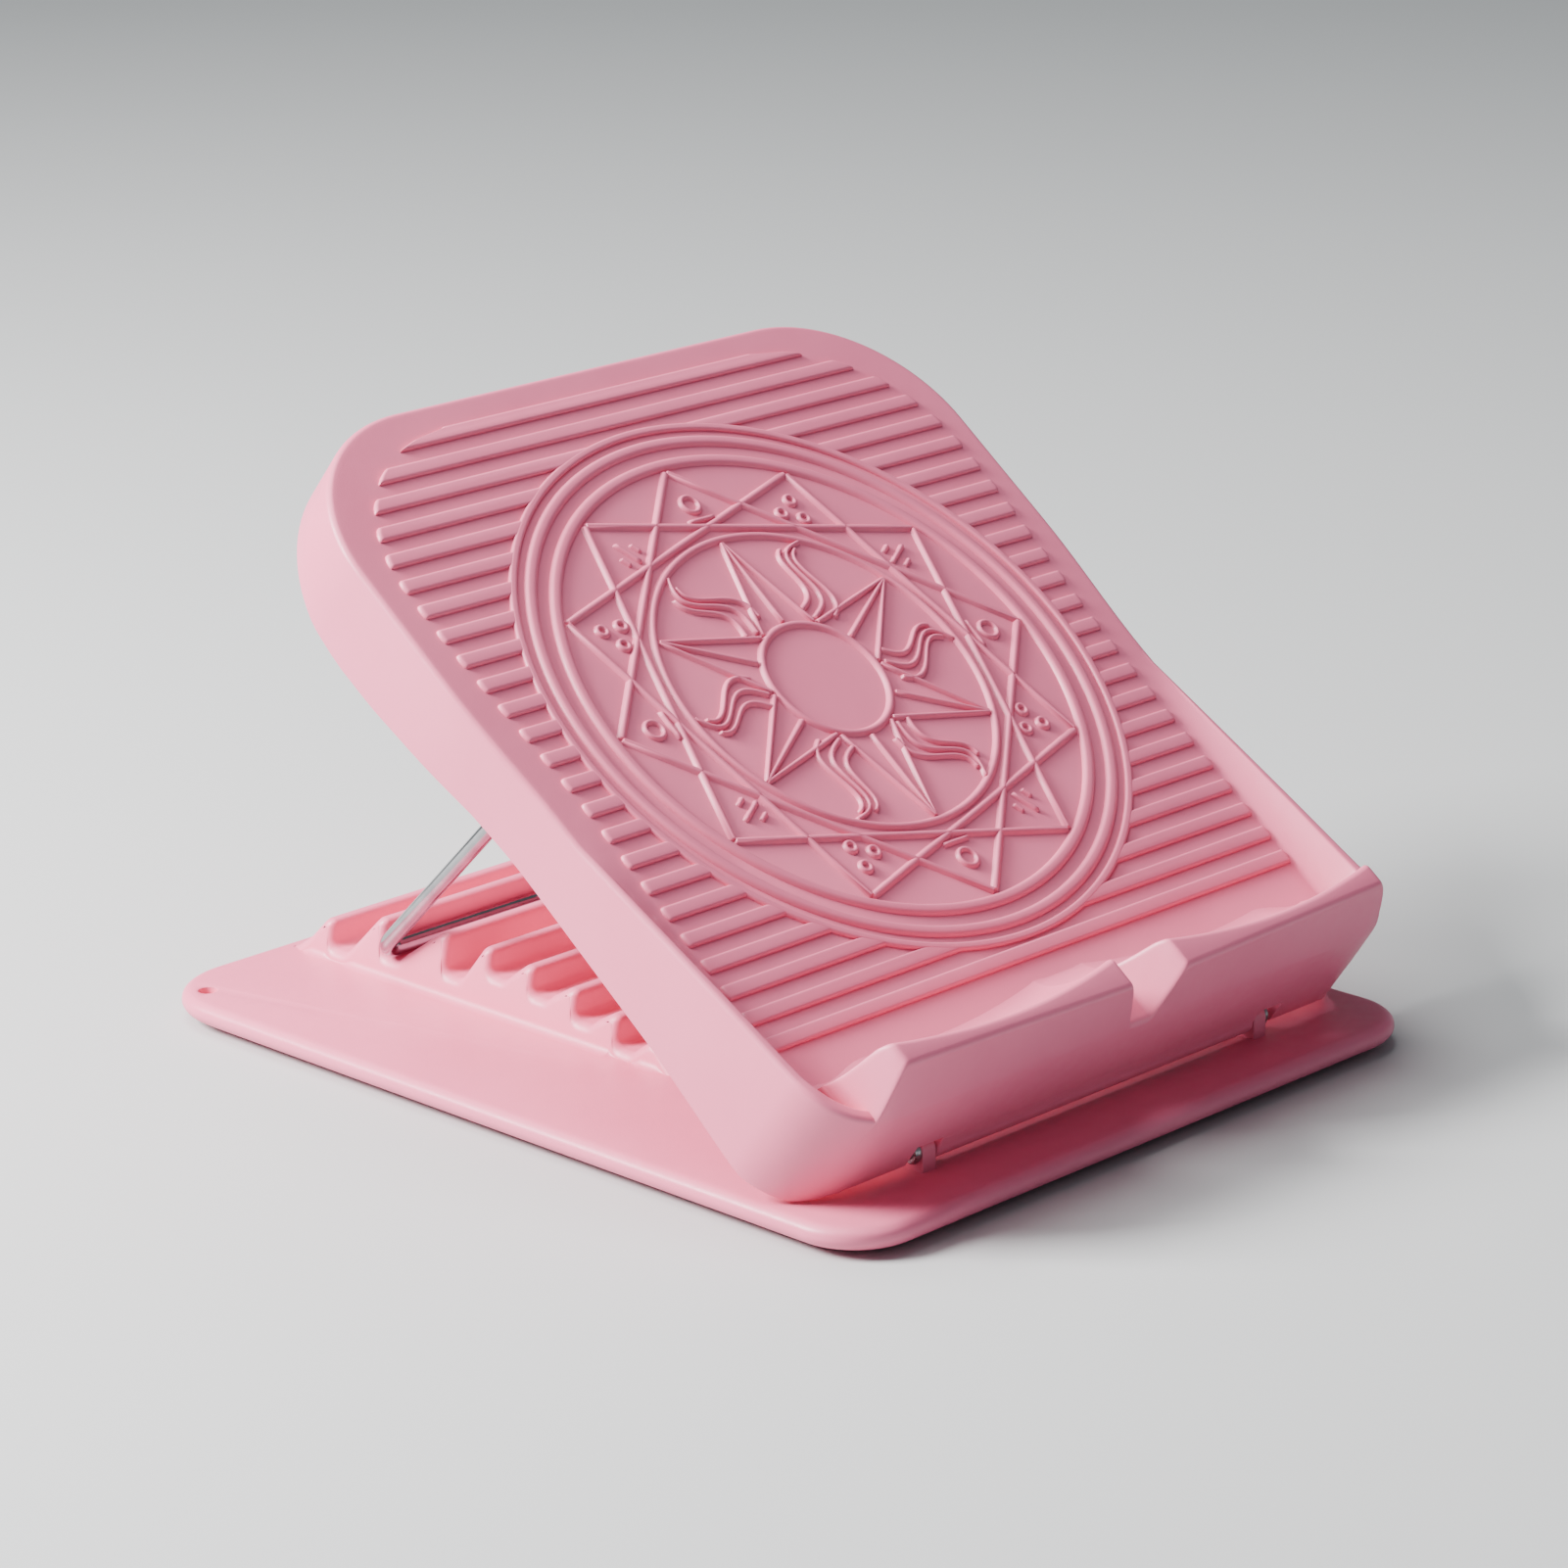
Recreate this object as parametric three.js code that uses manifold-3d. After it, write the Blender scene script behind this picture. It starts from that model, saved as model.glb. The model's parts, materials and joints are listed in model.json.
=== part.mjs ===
// Folding slant board: a moulded base plate with a toothed rack, a moulded foot board hinged to
// it on a steel rod, and a bent steel bail under the foot board that stands in the rack.
// Millimetres, +Z up, +X along the hinge, +Y towards the rear of the base.

import * as THREE from 'three';
import { mergeVertices } from 'three/addons/utils/BufferGeometryUtils.js';
import Module from 'manifold-3d';

const wasm = await Module();
wasm.setup();

// ---- Driving dimensions -------------------------------------------------------------------

const GAP = 0.3;                    // clearance between pieces that touch
const WALL = 3;                     // moulded wall thickness

// Base plate, measured from the hinge axis along Y.
const FOOT_PROUD = 2.2;             // the rubber feet lift the base this far
const BASE_THICK = 8.8;
const BASE_WALL = 2.5;
const BASE_HALF_WIDTH = 143.5;
const BASE_FRONT = -29.5;
const BASE_REAR = 323.3;
const BASE_CORNER_FRONT = 25;
const BASE_CORNER_REAR = 32;
const HANG_HOLE_R = 3.4;
const HANG_HOLE_X = 131;
const HANG_HOLE_Y = 303;
const POCKET_INSET = 7.5;           // width of the solid rim round the hollow underside
const STIFFENER = 2;                // thickness of the stiffening ribs underneath
const FOOT_SPOTS = [-8, 88, 184, 280];
const FOOT_X = 121;
const FOOT_R = 9;

// Hinge: axis height over the base top, barrel on the board, ears on the base.
const HINGE_OVER_BASE = 6.8;
const BARREL_R = 4.8;
const BARREL_HALF = 80;
const EAR_THICK = 6.4;
const EAR_GAP_END = 92.5;           // the front wall is open for the ears up to here
const EAR_GAP_TOP = 7.4;
const EAR_OUTSIDE = BARREL_HALF + 0.7 + EAR_THICK;
const CLIP_THICK = 2;
const ROD_R = 2.5;
const CLIP_R = 4.5;
const ROD_HALF = EAR_OUTSIDE + GAP + CLIP_THICK + 0.8;

// Foot board, in its own frame: origin on the hinge axis, +Y up the slope, +Z out of the deck.
const REST_TILT = 37.4;             // degrees over the base
const DECK_TOP = 20.1;              // tops of ribs and medallion
const RELIEF = 1.3;                 // how far ribs and medallion stand out
const BOARD_FRONT = -2.9;
const BOARD_REAR = 316.5;
const BOARD_HALF_FRONT = 144;
const BOARD_HALF_REAR = 147.5;
const BOARD_SWELL = [[140, 0], [175, 0.6], [205, 1]];   // where it widens, as [y, share]
const BOARD_CORNER_FRONT = 27;
const BOARD_CORNER_REAR = 60;
const EDGE_R = 2.2;                 // rounding of the deck's outer edge
const DRAFT = 1;                    // the side walls flare out this far towards the bottom
const RIM_TOP = 33.8;               // raised rim round the front corners
const RIM_LEAN = 0.8;               // the outside of the rim leans in this far
const LIP_TOP = 54.4;               // heel stop
const LIP_HALF = 121.5;
const LIP_LEAN = [2, 5.2];          // y of its front top edge in the middle and at the ends
const LIP_DEPTH = 15;               // y of its rear top edge in the middle and at the ends
const HEEL_CUP = 6.2;               // how much deeper a heel sits into it
const LIP_INSIDE = [[11, 5.5], [5, 17]];   // its concave rear face as [behind the edge, over the deck]
const LIP_FLARE = 4;                // its ends are wider at the rim's height
const NOTCH_HALF_TOP = 13.3;
const NOTCH_HALF_BOTTOM = 5.5;
const NOTCH_FLOOR = 34.5;
const STIFFENER_DEPTH = 5;          // how far the ribs hang under the deck

// Raised ribs and medallion. Radii are from the medallion's centre.
const RIB_COUNT = 24;
const RIB_PITCH = 11.25;
const RIB_WIDTH = 5.8;
const RIB_FIRST = 299.5;            // front edge of the rearmost rib
const MEDALLION_Y = 166.6;
const BAND_R = 117;                 // middle of the band that the ribs run into
const BAND_WIDTH = 3.2;
const RING_RADII = [110.4, 101.3];
const RING_WIDTH = 4.4;
const STAR_R = 98;                  // points of the three squares
const INNER_RING_R = 65.5;
const SUN_R = 24.5;
const RAY_TIP = 64;
const LINE_WIDTH = 3;
const LINE_HEIGHT = 1.1;
const RIB_CORNER = { x: 75.5, y: 243.2, radius: 61 };   // the ribs' ends follow this corner
const RIB_TAPER = { from: 137, to: 235, share: 5.2 };   // and end shorter along the front half

// Bail and rack.
const BAIL_R = 3;
const BAIL_HALF = 82;               // from the middle to the centre of a leg
const BAIL_BEND = 9;
const BAIL_STUB = 34;
const CLAMP_X = 57;                 // clamps that hold the stubs, two screws each
const CLAMP_HALF = 8;
const CLAMP_FOOT = [6.6, 9.6];      // the clamp's foot from its outside to the screw bosses
const SCREW_Y = 12;
const SCREW_R = 1.8;
const PIVOT_Y = 188.8;              // bail pivot in the board's frame
const PIVOT_Z = 12.4;
const CROSSBAR_Y = 265.7;           // crossbar at rest, from the hinge axis
const CROSSBAR_Z = 3.6;
const RACK_HALF_TOP = 75;
const RACK_HALF_FOOT = 80.5;
const RACK_PEAK = 21.8;             // the tooth tops arch to this height over the base top
const RACK_PEAK_Y = 232;
const RACK_ARCH = 0.00127;          // fall of the arch per square of the distance from its peak
const RACK_START = [112, 127, 131]; // foot, top and end of the ramp before the first notch
const RACK_END = 315.5;
const NOTCHES = [                   // [y, depth], from the rear
  [290.4, 13.8], [263.1, 13.8], [230.2, 13.8], [207.7, 8.5], [185.8, 8.5], [163, 8.5], [141.2, 8.5],
];

const HINGE_Y = -146.06;            // centres the whole object on the origin
const BASE_TOP = FOOT_PROUD + BASE_THICK;
const HINGE_Z = BASE_TOP + HINGE_OVER_BASE;

// ---- Materials ----------------------------------------------------------------------------

const finish = (color, roughness, metalness) =>
  new THREE.MeshStandardMaterial({ color, roughness, metalness });
const pinkPlastic = finish(0xe59aae, 0.45, 0);
const steel = finish(0xb9bcc0, 0.22, 1);
const zincSteel = finish(0xa9acb0, 0.35, 1);
const clampPlastic = finish(0xdd8fa5, 0.5, 0);
const rubber = finish(0x8c8488, 0.85, 0);

// ---- Solid helpers ------------------------------------------------------------------------

function solid(geometry) {
  const bare = geometry.clone();
  for (const name of Object.keys(bare.attributes)) {
    if (name !== 'position') bare.deleteAttribute(name);
  }
  const merged = mergeVertices(bare, 1e-4);
  return new wasm.Manifold(new wasm.Mesh({
    numProp: 3,
    vertProperties: new Float32Array(merged.attributes.position.array),
    triVerts: new Uint32Array(merged.index.array),
  }));
}

function geometryOf(manifold) {
  const mesh = manifold.getMesh();
  const geometry = new THREE.BufferGeometry();
  geometry.setAttribute('position', new THREE.BufferAttribute(mesh.vertProperties, 3));
  geometry.setIndex(new THREE.BufferAttribute(mesh.triVerts, 1));
  geometry.computeVertexNormals();
  return geometry;
}

function mesh(name, shape, material) {
  const piece = new THREE.Mesh(geometryOf(shape), material);
  piece.name = name;
  return piece;
}

// The stretch from `near` to `far` on one side of the middle, lowest X first.
const span = (side, near, far) => (side > 0 ? [near, far] : [-far, -near]);

const joined = (shapes) => shapes.reduce((sum, shape) => sum.add(shape));

// A closed solid through rings of points that all have the same number of points.
function loft(rings) {
  const count = rings[0].length;
  const points = rings.flat();
  const faces = [];
  for (let r = 0; r < rings.length - 1; r += 1) {
    for (let i = 0; i < count; i += 1) {
      const j = (i + 1) % count;
      const [a, b] = [r * count + i, r * count + j];
      faces.push([a, b, b + count], [a, b + count, a + count]);
    }
  }
  const last = (rings.length - 1) * count;
  for (const [a, b, c] of capFaces(rings[0])) {
    faces.push([c, b, a], [last + a, last + b, last + c]);
  }
  const outward = volume(points, faces) > 0;
  const geometry = new THREE.BufferGeometry();
  geometry.setFromPoints(points);
  geometry.setIndex(faces.flatMap(([a, b, c]) => (outward ? [a, b, c] : [a, c, b])));
  return solid(geometry);
}

// Triangles that fill a ring, turning the same way as the ring does. A level ring is filled
// in the X-Y plane and an upright one in the Y-Z plane.
function capFaces(ring) {
  const level = ring.every((p) => Math.abs(p.z - ring[0].z) < 1e-9);
  const flat = ring.map((p) => (level ? new THREE.Vector2(p.x, p.y) : new THREE.Vector2(p.y, p.z)));
  const turns = THREE.ShapeUtils.area(flat) > 0;
  return THREE.ShapeUtils.triangulateShape(flat, []).map(([a, b, c]) => (turns ? [a, b, c] : [a, c, b]));
}

// Six times the signed volume inside the faces.
function volume(points, faces) {
  const cross = new THREE.Vector3();
  return faces.reduce((sum, [a, b, c]) => sum + cross.crossVectors(points[b], points[c]).dot(points[a]), 0);
}

// A prism along X whose section is a list of [y, z] points.
function prismX(points, from, to) {
  const ring = (x) => points.map(([y, z]) => new THREE.Vector3(x, y, z));
  return loft([ring(from), ring(to)]);
}

// A prism along Y whose section is a list of [x, z] points.
function prismY(points, from, to) {
  const shape = new THREE.Shape(points.map(([x, z]) => new THREE.Vector2(x, z)));
  const geometry = new THREE.ExtrudeGeometry(shape, { depth: to - from, bevelEnabled: false });
  geometry.rotateX(Math.PI / 2);
  geometry.translate(0, to, 0);
  return solid(geometry);
}

function box(x0, x1, y0, y1, z0, z1) {
  const geometry = new THREE.BoxGeometry(x1 - x0, y1 - y0, z1 - z0);
  geometry.translate((x0 + x1) / 2, (y0 + y1) / 2, (z0 + z1) / 2);
  return solid(geometry);
}

function cylinderZ(radius, x, y, z0, z1, sides = 24) {
  const geometry = new THREE.CylinderGeometry(radius, radius, z1 - z0, sides);
  geometry.rotateX(Math.PI / 2);
  geometry.translate(x, y, (z0 + z1) / 2);
  return solid(geometry);
}

function cylinderX(radius, x0, x1, y, z, sides = 24) {
  const geometry = new THREE.CylinderGeometry(radius, radius, x1 - x0, sides);
  geometry.rotateZ(Math.PI / 2);
  geometry.translate((x0 + x1) / 2, y, z);
  return solid(geometry);
}

// The right half of a rounded outline from front to rear, grown by `out`: the front corner,
// the swell from the front width to the rear width, and the rear corner.
function halfOutline(plan, out) {
  const points = [];
  const corner = (x, y, radius, start) => {
    for (let step = 0; step <= plan.steps; step += 1) {
      const angle = THREE.MathUtils.degToRad(start + (90 * step) / plan.steps);
      points.push([x + (radius + out) * Math.cos(angle), y + (radius + out) * Math.sin(angle)]);
    }
  };
  corner(plan.halfFront - plan.cornerFront, plan.front + plan.cornerFront, plan.cornerFront, -90);
  for (const [y, share] of plan.swell) {
    points.push([THREE.MathUtils.lerp(plan.halfFront, plan.halfRear, share) + out, y]);
  }
  corner(plan.halfRear - plan.cornerRear, plan.rear - plan.cornerRear, plan.cornerRear, 0);
  return points;
}

function outline(plan, out, z) {
  const right = halfOutline(plan, out);
  const left = [...right].reverse().map(([x, y]) => [-x, y]);
  return [...right, ...left].map(([x, y]) => new THREE.Vector3(x, y, z));
}

const plate = (plan, levels) => loft(levels.map(([out, z]) => outline(plan, out, z)));

// ---- Base plate ---------------------------------------------------------------------------

const basePlan = {
  halfFront: BASE_HALF_WIDTH,
  halfRear: BASE_HALF_WIDTH,
  front: BASE_FRONT,
  rear: BASE_REAR,
  cornerFront: BASE_CORNER_FRONT,
  cornerRear: BASE_CORNER_REAR,
  swell: [],
  steps: 7,
};

const archTop = (y) => BASE_TOP + RACK_PEAK - RACK_ARCH * (y - RACK_PEAK_Y) ** 2;

// Tooth outline of the rack as [y, z] points, shrunk by `inset` for the hollow underneath.
// Each notch has a steep rear wall that the bail leans on and a sloping front wall.
const NOTCH = {
  frontEdge: -4.2, floorFront: -2.4, floorRear: 4.2, rearEdge: 6, edgeRise: 2, tipFront: 6.5, tipRear: 10.5,
  crest: 9, lastDrop: 2.5,
};

function rackSection(inset) {
  const foot = BASE_TOP - 4;
  const [rise, top, level] = RACK_START;
  const ramp = [[top + inset, archTop(top) - inset], [level, archTop(level) - inset]];
  const section = [[rise + inset, foot], ...ramp];
  for (const [y, depth] of [...NOTCHES].reverse()) {
    const floor = archTop(y) - depth - inset;
    const drop = y === NOTCHES[0][0] ? NOTCH.lastDrop : 0;
    const crest = archTop(y + NOTCH.crest) - inset - drop;
    const tip = y + NOTCH.tipFront + inset * 0.9;
    section.push([y + NOTCH.frontEdge - inset, floor + NOTCH.edgeRise], [y + NOTCH.floorFront, floor]);
    section.push([y + NOTCH.floorRear, floor], [y + NOTCH.rearEdge + inset, floor + NOTCH.edgeRise]);
    section.push([tip, crest], [Math.max(y + NOTCH.tipRear - inset * 0.9, tip + GAP), crest]);
  }
  const end = RACK_END - inset * 1.5;
  section.push([end - 7.5, BASE_TOP + 5.5 - inset], [end, BASE_TOP - inset], [end, foot]);
  return section;
}

function rackSpan(inset, foot) {
  const top = BASE_TOP + RACK_PEAK;
  const points = [
    [-RACK_HALF_FOOT + inset, foot],
    [RACK_HALF_FOOT - inset, foot],
    [RACK_HALF_TOP - inset, top + 1],
    [-RACK_HALF_TOP + inset, top + 1],
  ];
  return prismY(points, 100, 330);
}

function rack() {
  const reach = RACK_HALF_FOOT + 1;
  return prismX(rackSection(0), -reach, reach).intersect(rackSpan(0, BASE_TOP - 4));
}

function rackHollow() {
  const reach = RACK_HALF_FOOT + 1;
  const section = prismX(rackSection(WALL - 0.4), -reach, reach);
  return section.intersect(rackSpan(WALL, BASE_TOP - 4));
}

function hingeEar(side) {
  const [x0, x1] = span(side, EAR_OUTSIDE - EAR_THICK, EAR_OUTSIDE);
  const boss = cylinderX(BARREL_R - 0.2, x0, x1, 0, HINGE_Z);
  const [back, front] = [BARREL_R - 0.2, -(BARREL_R - 0.8)];
  const root = BASE_TOP - 2;
  const web = prismX([[front, root], [back * 2.8, root], [back, HINGE_Z + 2], [front, HINGE_Z]], x0, x1);
  return boss.add(web).subtract(cylinderX(ROD_R + GAP, x0 - 1, x1 + 1, 0, HINGE_Z));
}

function baseStiffeners() {
  const ribs = [];
  const [low, top] = [FOOT_PROUD + 1, BASE_TOP - BASE_WALL + 0.5];
  const half = STIFFENER / 2;
  const reach = BASE_HALF_WIDTH - POCKET_INSET + 2;
  const lengthwise = 104;
  for (const y of [40, 88]) ribs.push(box(-reach, reach, y - half, y + half, low, top));
  for (const side of [-1, 1]) {
    const middle = side * lengthwise;
    ribs.push(box(middle - half, middle + half, -24, 318, low, top));
    for (const y of [140, 192, 244, 296]) {
      const [x0, x1] = span(side, RACK_HALF_FOOT, reach);
      ribs.push(box(x0, x1, y - half, y + half, low, top));
    }
  }
  return joined(ribs);
}

// Section of the rounded edge as [outwards, z], from the underside round to the top.
const BASE_BEAD = [[-5, 0], [-2.2, 1.2], [-0.6, 2.8], [0, 4.6], [-0.6, 6.8], [-2.6, 8.3], [-4.6, BASE_THICK]];

function basePlate() {
  const low = FOOT_PROUD;
  const skin = plate(basePlan, BASE_BEAD.map(([out, z]) => [out, low + z]));
  const pocket = plate(basePlan, [[-POCKET_INSET, low - 1], [-POCKET_INSET, BASE_TOP - BASE_WALL]]);
  const upright = (radius, x, y, z0) => cylinderZ(radius, x, y, z0, BASE_TOP - 1);
  const sockets = [];
  const holes = [];
  for (const side of [-1, 1]) {
    for (const y of FOOT_SPOTS) sockets.push(upright(FOOT_R + 2, side * FOOT_X, y, low + 1));
    sockets.push(upright(HANG_HOLE_R + 2.5, side * HANG_HOLE_X, HANG_HOLE_Y, low));
    holes.push(cylinderZ(HANG_HOLE_R, side * HANG_HOLE_X, HANG_HOLE_Y, -1, 2 * BASE_TOP));
  }
  let body = skin.subtract(pocket).add(baseStiffeners()).add(joined(sockets));
  body = body.add(rack()).subtract(rackHollow()).add(hingeEar(-1)).add(hingeEar(1));
  return body.subtract(joined(holes));
}

// ---- Foot board ---------------------------------------------------------------------------

const boardPlan = {
  halfFront: BOARD_HALF_FRONT,
  halfRear: BOARD_HALF_REAR,
  front: BOARD_FRONT,
  rear: BOARD_REAR,
  cornerFront: BOARD_CORNER_FRONT,
  cornerRear: BOARD_CORNER_REAR,
  swell: BOARD_SWELL,
  steps: 9,
};

const SKIN_TOP = DECK_TOP - RELIEF;
const DEEP = -24;                   // below every wall, before the lower edge is cut

// Lower edge of the side walls as [y, z]: higher over the hinge, deepest near the rear.
const LOWER_EDGE = [
  [-8, -2.4], [-2.4, -2.6], [-0.5, -7], [4, -10.6], [18, -12.4], [36, -11.4], [68, -9.3],
  [150, -8.8], [172, -9.3], [200, -12.3], [226, -15.1], [246, -15.7], [262, -14], [286, -9],
  [304, -5.6], [340, -5],
];

// Upper edge of the rim as [y, z]: level round the front, then falling to the deck.
const RIM_EDGE = [[-8, RIM_TOP], [16, RIM_TOP], [26, 32.4], [60, 28.4], [105, 22.6], [142, SKIN_TOP - 1]];

function boardShell() {
  const skin = plate(boardPlan, [
    [DRAFT, DEEP], [0, SKIN_TOP - EDGE_R], [-0.13 * EDGE_R, SKIN_TOP - EDGE_R / 2],
    [-EDGE_R / 2, SKIN_TOP - 0.13 * EDGE_R], [-EDGE_R, SKIN_TOP],
  ]);
  const hollow = plate(boardPlan, [[DRAFT - WALL, DEEP - 1], [-WALL, SKIN_TOP - WALL]]);
  const under = prismX([[-20, -40], [340, -40], ...[...LOWER_EDGE].reverse(), [-20, -2.4]], -160, 160);
  return skin.subtract(hollow).subtract(under);
}

// Faces of the rim as [outwards, z]: a nearly upright outside and a sloping inside.
const RIM_OUTSIDE = [[0, SKIN_TOP - EDGE_R], [-RIM_LEAN, RIM_TOP - 2.5], [-2.6, RIM_TOP]];
const RIM_INSIDE = [[-13, SKIN_TOP - 2], [-11, SKIN_TOP + 2], [-6, RIM_TOP - 1], [-5.4, RIM_TOP + 1]];

function rim() {
  const above = prismX([[-20, 60], ...RIM_EDGE, [142, 10], [340, 10], [340, 60]].reverse(), -160, 160);
  const hollow = plate(boardPlan, [[-WALL, 0], [-WALL, SKIN_TOP - WALL]]);
  const wall = plate(boardPlan, RIM_OUTSIDE).subtract(plate(boardPlan, RIM_INSIDE));
  return wall.subtract(above).subtract(hollow);
}

// Section of the heel stop at x: flat top, concave inside that follows a heel, sloping front.
function lipSection(x, inset) {
  const along = Math.abs(x) / LIP_HALF;
  const cup = Math.sin(Math.PI * THREE.MathUtils.clamp((along - 0.1) / 0.9, 0, 1)) ** 0.8;
  const lean = inset * 0.9;
  const front = BOARD_FRONT + inset;
  const outer = LIP_LEAN[0] + (LIP_LEAN[1] - LIP_LEAN[0]) * along + lean;
  const inner = LIP_DEPTH - HEEL_CUP * cup - lean;
  const top = LIP_TOP - inset;
  const low = SKIN_TOP - (inset ? 8 : 1);
  const inside = LIP_INSIDE.map(([back, up]) => [inner + back, SKIN_TOP + up - inset]);
  return [
    [front, low], [inner + 19 - inset * 0.6, low], ...inside,
    [Math.max(inner, outer + 1), top], [outer, top], [front, RIM_TOP],
  ];
}

function lipSolid(from, to, inset) {
  const sections = 16;
  const rings = [];
  for (let i = 0; i <= sections; i += 1) {
    const x = from + ((to - from) * i) / sections;
    rings.push(lipSection(x, inset).map(([y, z]) => new THREE.Vector3(x, y, z)));
  }
  return loft(rings);
}

function lip() {
  const [foot, flare] = [LIP_HALF + LIP_FLARE + 2, LIP_HALF + LIP_FLARE];
  const ends = prismY([
    [-foot, SKIN_TOP - 9], [foot, SKIN_TOP - 9], [flare, RIM_TOP], [LIP_HALF, LIP_TOP + 1],
    [-LIP_HALF, LIP_TOP + 1], [-flare, RIM_TOP],
  ], -20, 60);
  const notch = prismY([
    [-NOTCH_HALF_BOTTOM, NOTCH_FLOOR], [NOTCH_HALF_BOTTOM, NOTCH_FLOOR],
    [NOTCH_HALF_TOP, LIP_TOP + 1], [-NOTCH_HALF_TOP, LIP_TOP + 1],
  ], -20, 60);
  const within = plate(boardPlan, [
    [0, SKIN_TOP - 9], [0, SKIN_TOP - EDGE_R], [-RIM_LEAN, RIM_TOP - 2.5], [-RIM_LEAN, LIP_TOP + 1],
  ]);
  return lipSolid(-foot, foot, 0).intersect(ends).intersect(within).subtract(notch);
}

function lipHollows() {
  return joined([-1, 1].map((side) => {
    const [x0, x1] = span(side, 19, LIP_HALF - WALL);
    return lipSolid(x0, x1, WALL);
  }));
}

// Half length of a rib at y, following the board's outline.
function ribHalf(y) {
  const { x, radius } = RIB_CORNER;
  const over = y - RIB_CORNER.y;
  const widening = THREE.MathUtils.smoothstep(y, RIB_TAPER.from, RIB_TAPER.to);
  if (over <= 0) return x + radius - RIB_TAPER.share * (1 - widening);
  return x + Math.sqrt(Math.max(radius ** 2 - over ** 2, 0));
}

function ribs() {
  const bars = [];
  for (let k = 0; k < RIB_COUNT; k += 1) {
    const front = RIB_FIRST - k * RIB_PITCH;
    const half = ribHalf(front + RIB_WIDTH / 2);
    bars.push(box(-half, half, front, front + RIB_WIDTH, SKIN_TOP - 1, DECK_TOP));
  }
  return joined(bars).subtract(cylinderZ(BAND_R, 0, MEDALLION_Y, SKIN_TOP, DECK_TOP + 1, 72));
}

// A raised line on the deck between two points given as [radius, degrees] from the centre.
function raisedLine([fromR, fromTurn], [toR, toTurn]) {
  const polar = (radius, turn) => new THREE.Vector2(radius, 0)
    .rotateAround(new THREE.Vector2(), THREE.MathUtils.degToRad(turn));
  const [from, to] = [polar(fromR, fromTurn), polar(toR, toTurn)];
  const along = to.clone().sub(from);
  const line = box(0, along.length(), -LINE_WIDTH / 2, LINE_WIDTH / 2, SKIN_TOP - 1, SKIN_TOP + LINE_HEIGHT);
  const turn = THREE.MathUtils.radToDeg(along.angle());
  return line.rotate([0, 0, turn]).translate([from.x, MEDALLION_Y + from.y, 0]);
}

// Three squares turned through thirty degrees, and six straight rays of three lines each.
function starAndRays() {
  const lines = [];
  for (let turn = 0; turn < 360; turn += 30) lines.push(raisedLine([STAR_R, turn], [STAR_R, turn + 90]));
  for (let turn = 30; turn < 390; turn += 60) {
    for (const side of [-29, 0, 29]) lines.push(raisedLine([SUN_R, turn + side], [RAY_TIP, turn]));
  }
  return joined(lines);
}

function relief() {
  const parts = [ribs(), starAndRays(), ring(BAND_R, BAND_WIDTH, DECK_TOP)];
  for (const radius of RING_RADII) parts.push(ring(radius, RING_WIDTH, DECK_TOP));
  parts.push(ring(INNER_RING_R, LINE_WIDTH, SKIN_TOP + LINE_HEIGHT, 60));
  parts.push(ring(SUN_R, LINE_WIDTH, SKIN_TOP + LINE_HEIGHT, 40));
  return joined(parts);
}

// A raised ring round the medallion's centre.
function ring(radius, width, top, sides = 72) {
  const outer = cylinderZ(radius + width / 2, 0, MEDALLION_Y, SKIN_TOP - 1, top, sides);
  return outer.subtract(cylinderZ(radius - width / 2, 0, MEDALLION_Y, SKIN_TOP - 2, top + 1, sides));
}

function hingeBarrel() {
  const barrel = cylinderX(BARREL_R, -BARREL_HALF, BARREL_HALF, 0, 0, 28);
  const web = prismX([[BOARD_FRONT, 0], [4.5, 0], [3, 10], [BOARD_FRONT, 10]], -BARREL_HALF, BARREL_HALF);
  const bore = cylinderX(ROD_R + GAP, -BARREL_HALF - 1, BARREL_HALF + 1, 0, 0);
  return barrel.add(web).subtract(bore);
}

// Clear space in the board's front wall for each hinge ear and the clip beside it.
function earGap(side) {
  const [x0, x1] = span(side, BARREL_HALF + 0.01, EAR_GAP_END);
  return box(x0, x1, -12, 9, -12, EAR_GAP_TOP);
}

function deckStiffeners() {
  const bars = [];
  const [low, top] = [SKIN_TOP - WALL - STIFFENER_DEPTH, SKIN_TOP - WALL + 0.5];
  const half = STIFFENER / 2;
  for (const y of [52, 104, 156, 248, 286]) {
    const reach = y > 270 ? 118 : 141;
    bars.push(box(-reach, reach, y - half, y + half, low, top));
  }
  for (const x of [-100, -32, 32, 100]) bars.push(box(x - half, x + half, 26, 308, low, top));
  return joined(bars).subtract(bailPath());
}

// Room under the deck for the bail's stubs, bends and legs.
function bailPath() {
  return joined([-1, 1].map((side) => {
    const [x0, x1] = span(side, BAIL_HALF - BAIL_STUB - 8, BAIL_HALF + 10);
    return box(x0, x1, PIVOT_Y - 26, PIVOT_Y + 26, -20, SKIN_TOP - WALL);
  }));
}

function screwBosses() {
  const bosses = [];
  for (const x of [-CLAMP_X, CLAMP_X]) {
    for (const dy of [-SCREW_Y, SCREW_Y]) {
      const boss = cylinderZ(4.5, x, PIVOT_Y + dy, CLAMP_FOOT[1] + GAP, SKIN_TOP - WALL + 0.5, 20);
      bosses.push(boss.subtract(cylinderZ(SCREW_R + GAP, x, PIVOT_Y + dy, 0, SKIN_TOP - WALL - 1, 16)));
    }
  }
  return joined(bosses);
}

function topPlate() {
  let body = boardShell().add(rim()).add(lip()).subtract(lipHollows());
  body = body.add(relief()).add(deckStiffeners()).add(screwBosses());
  body = body.add(hingeBarrel()).subtract(cylinderX(ROD_R + GAP, -ROD_HALF - 1, ROD_HALF + 1, 0, 0));
  return body.subtract(earGap(-1)).subtract(earGap(1));
}

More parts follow.
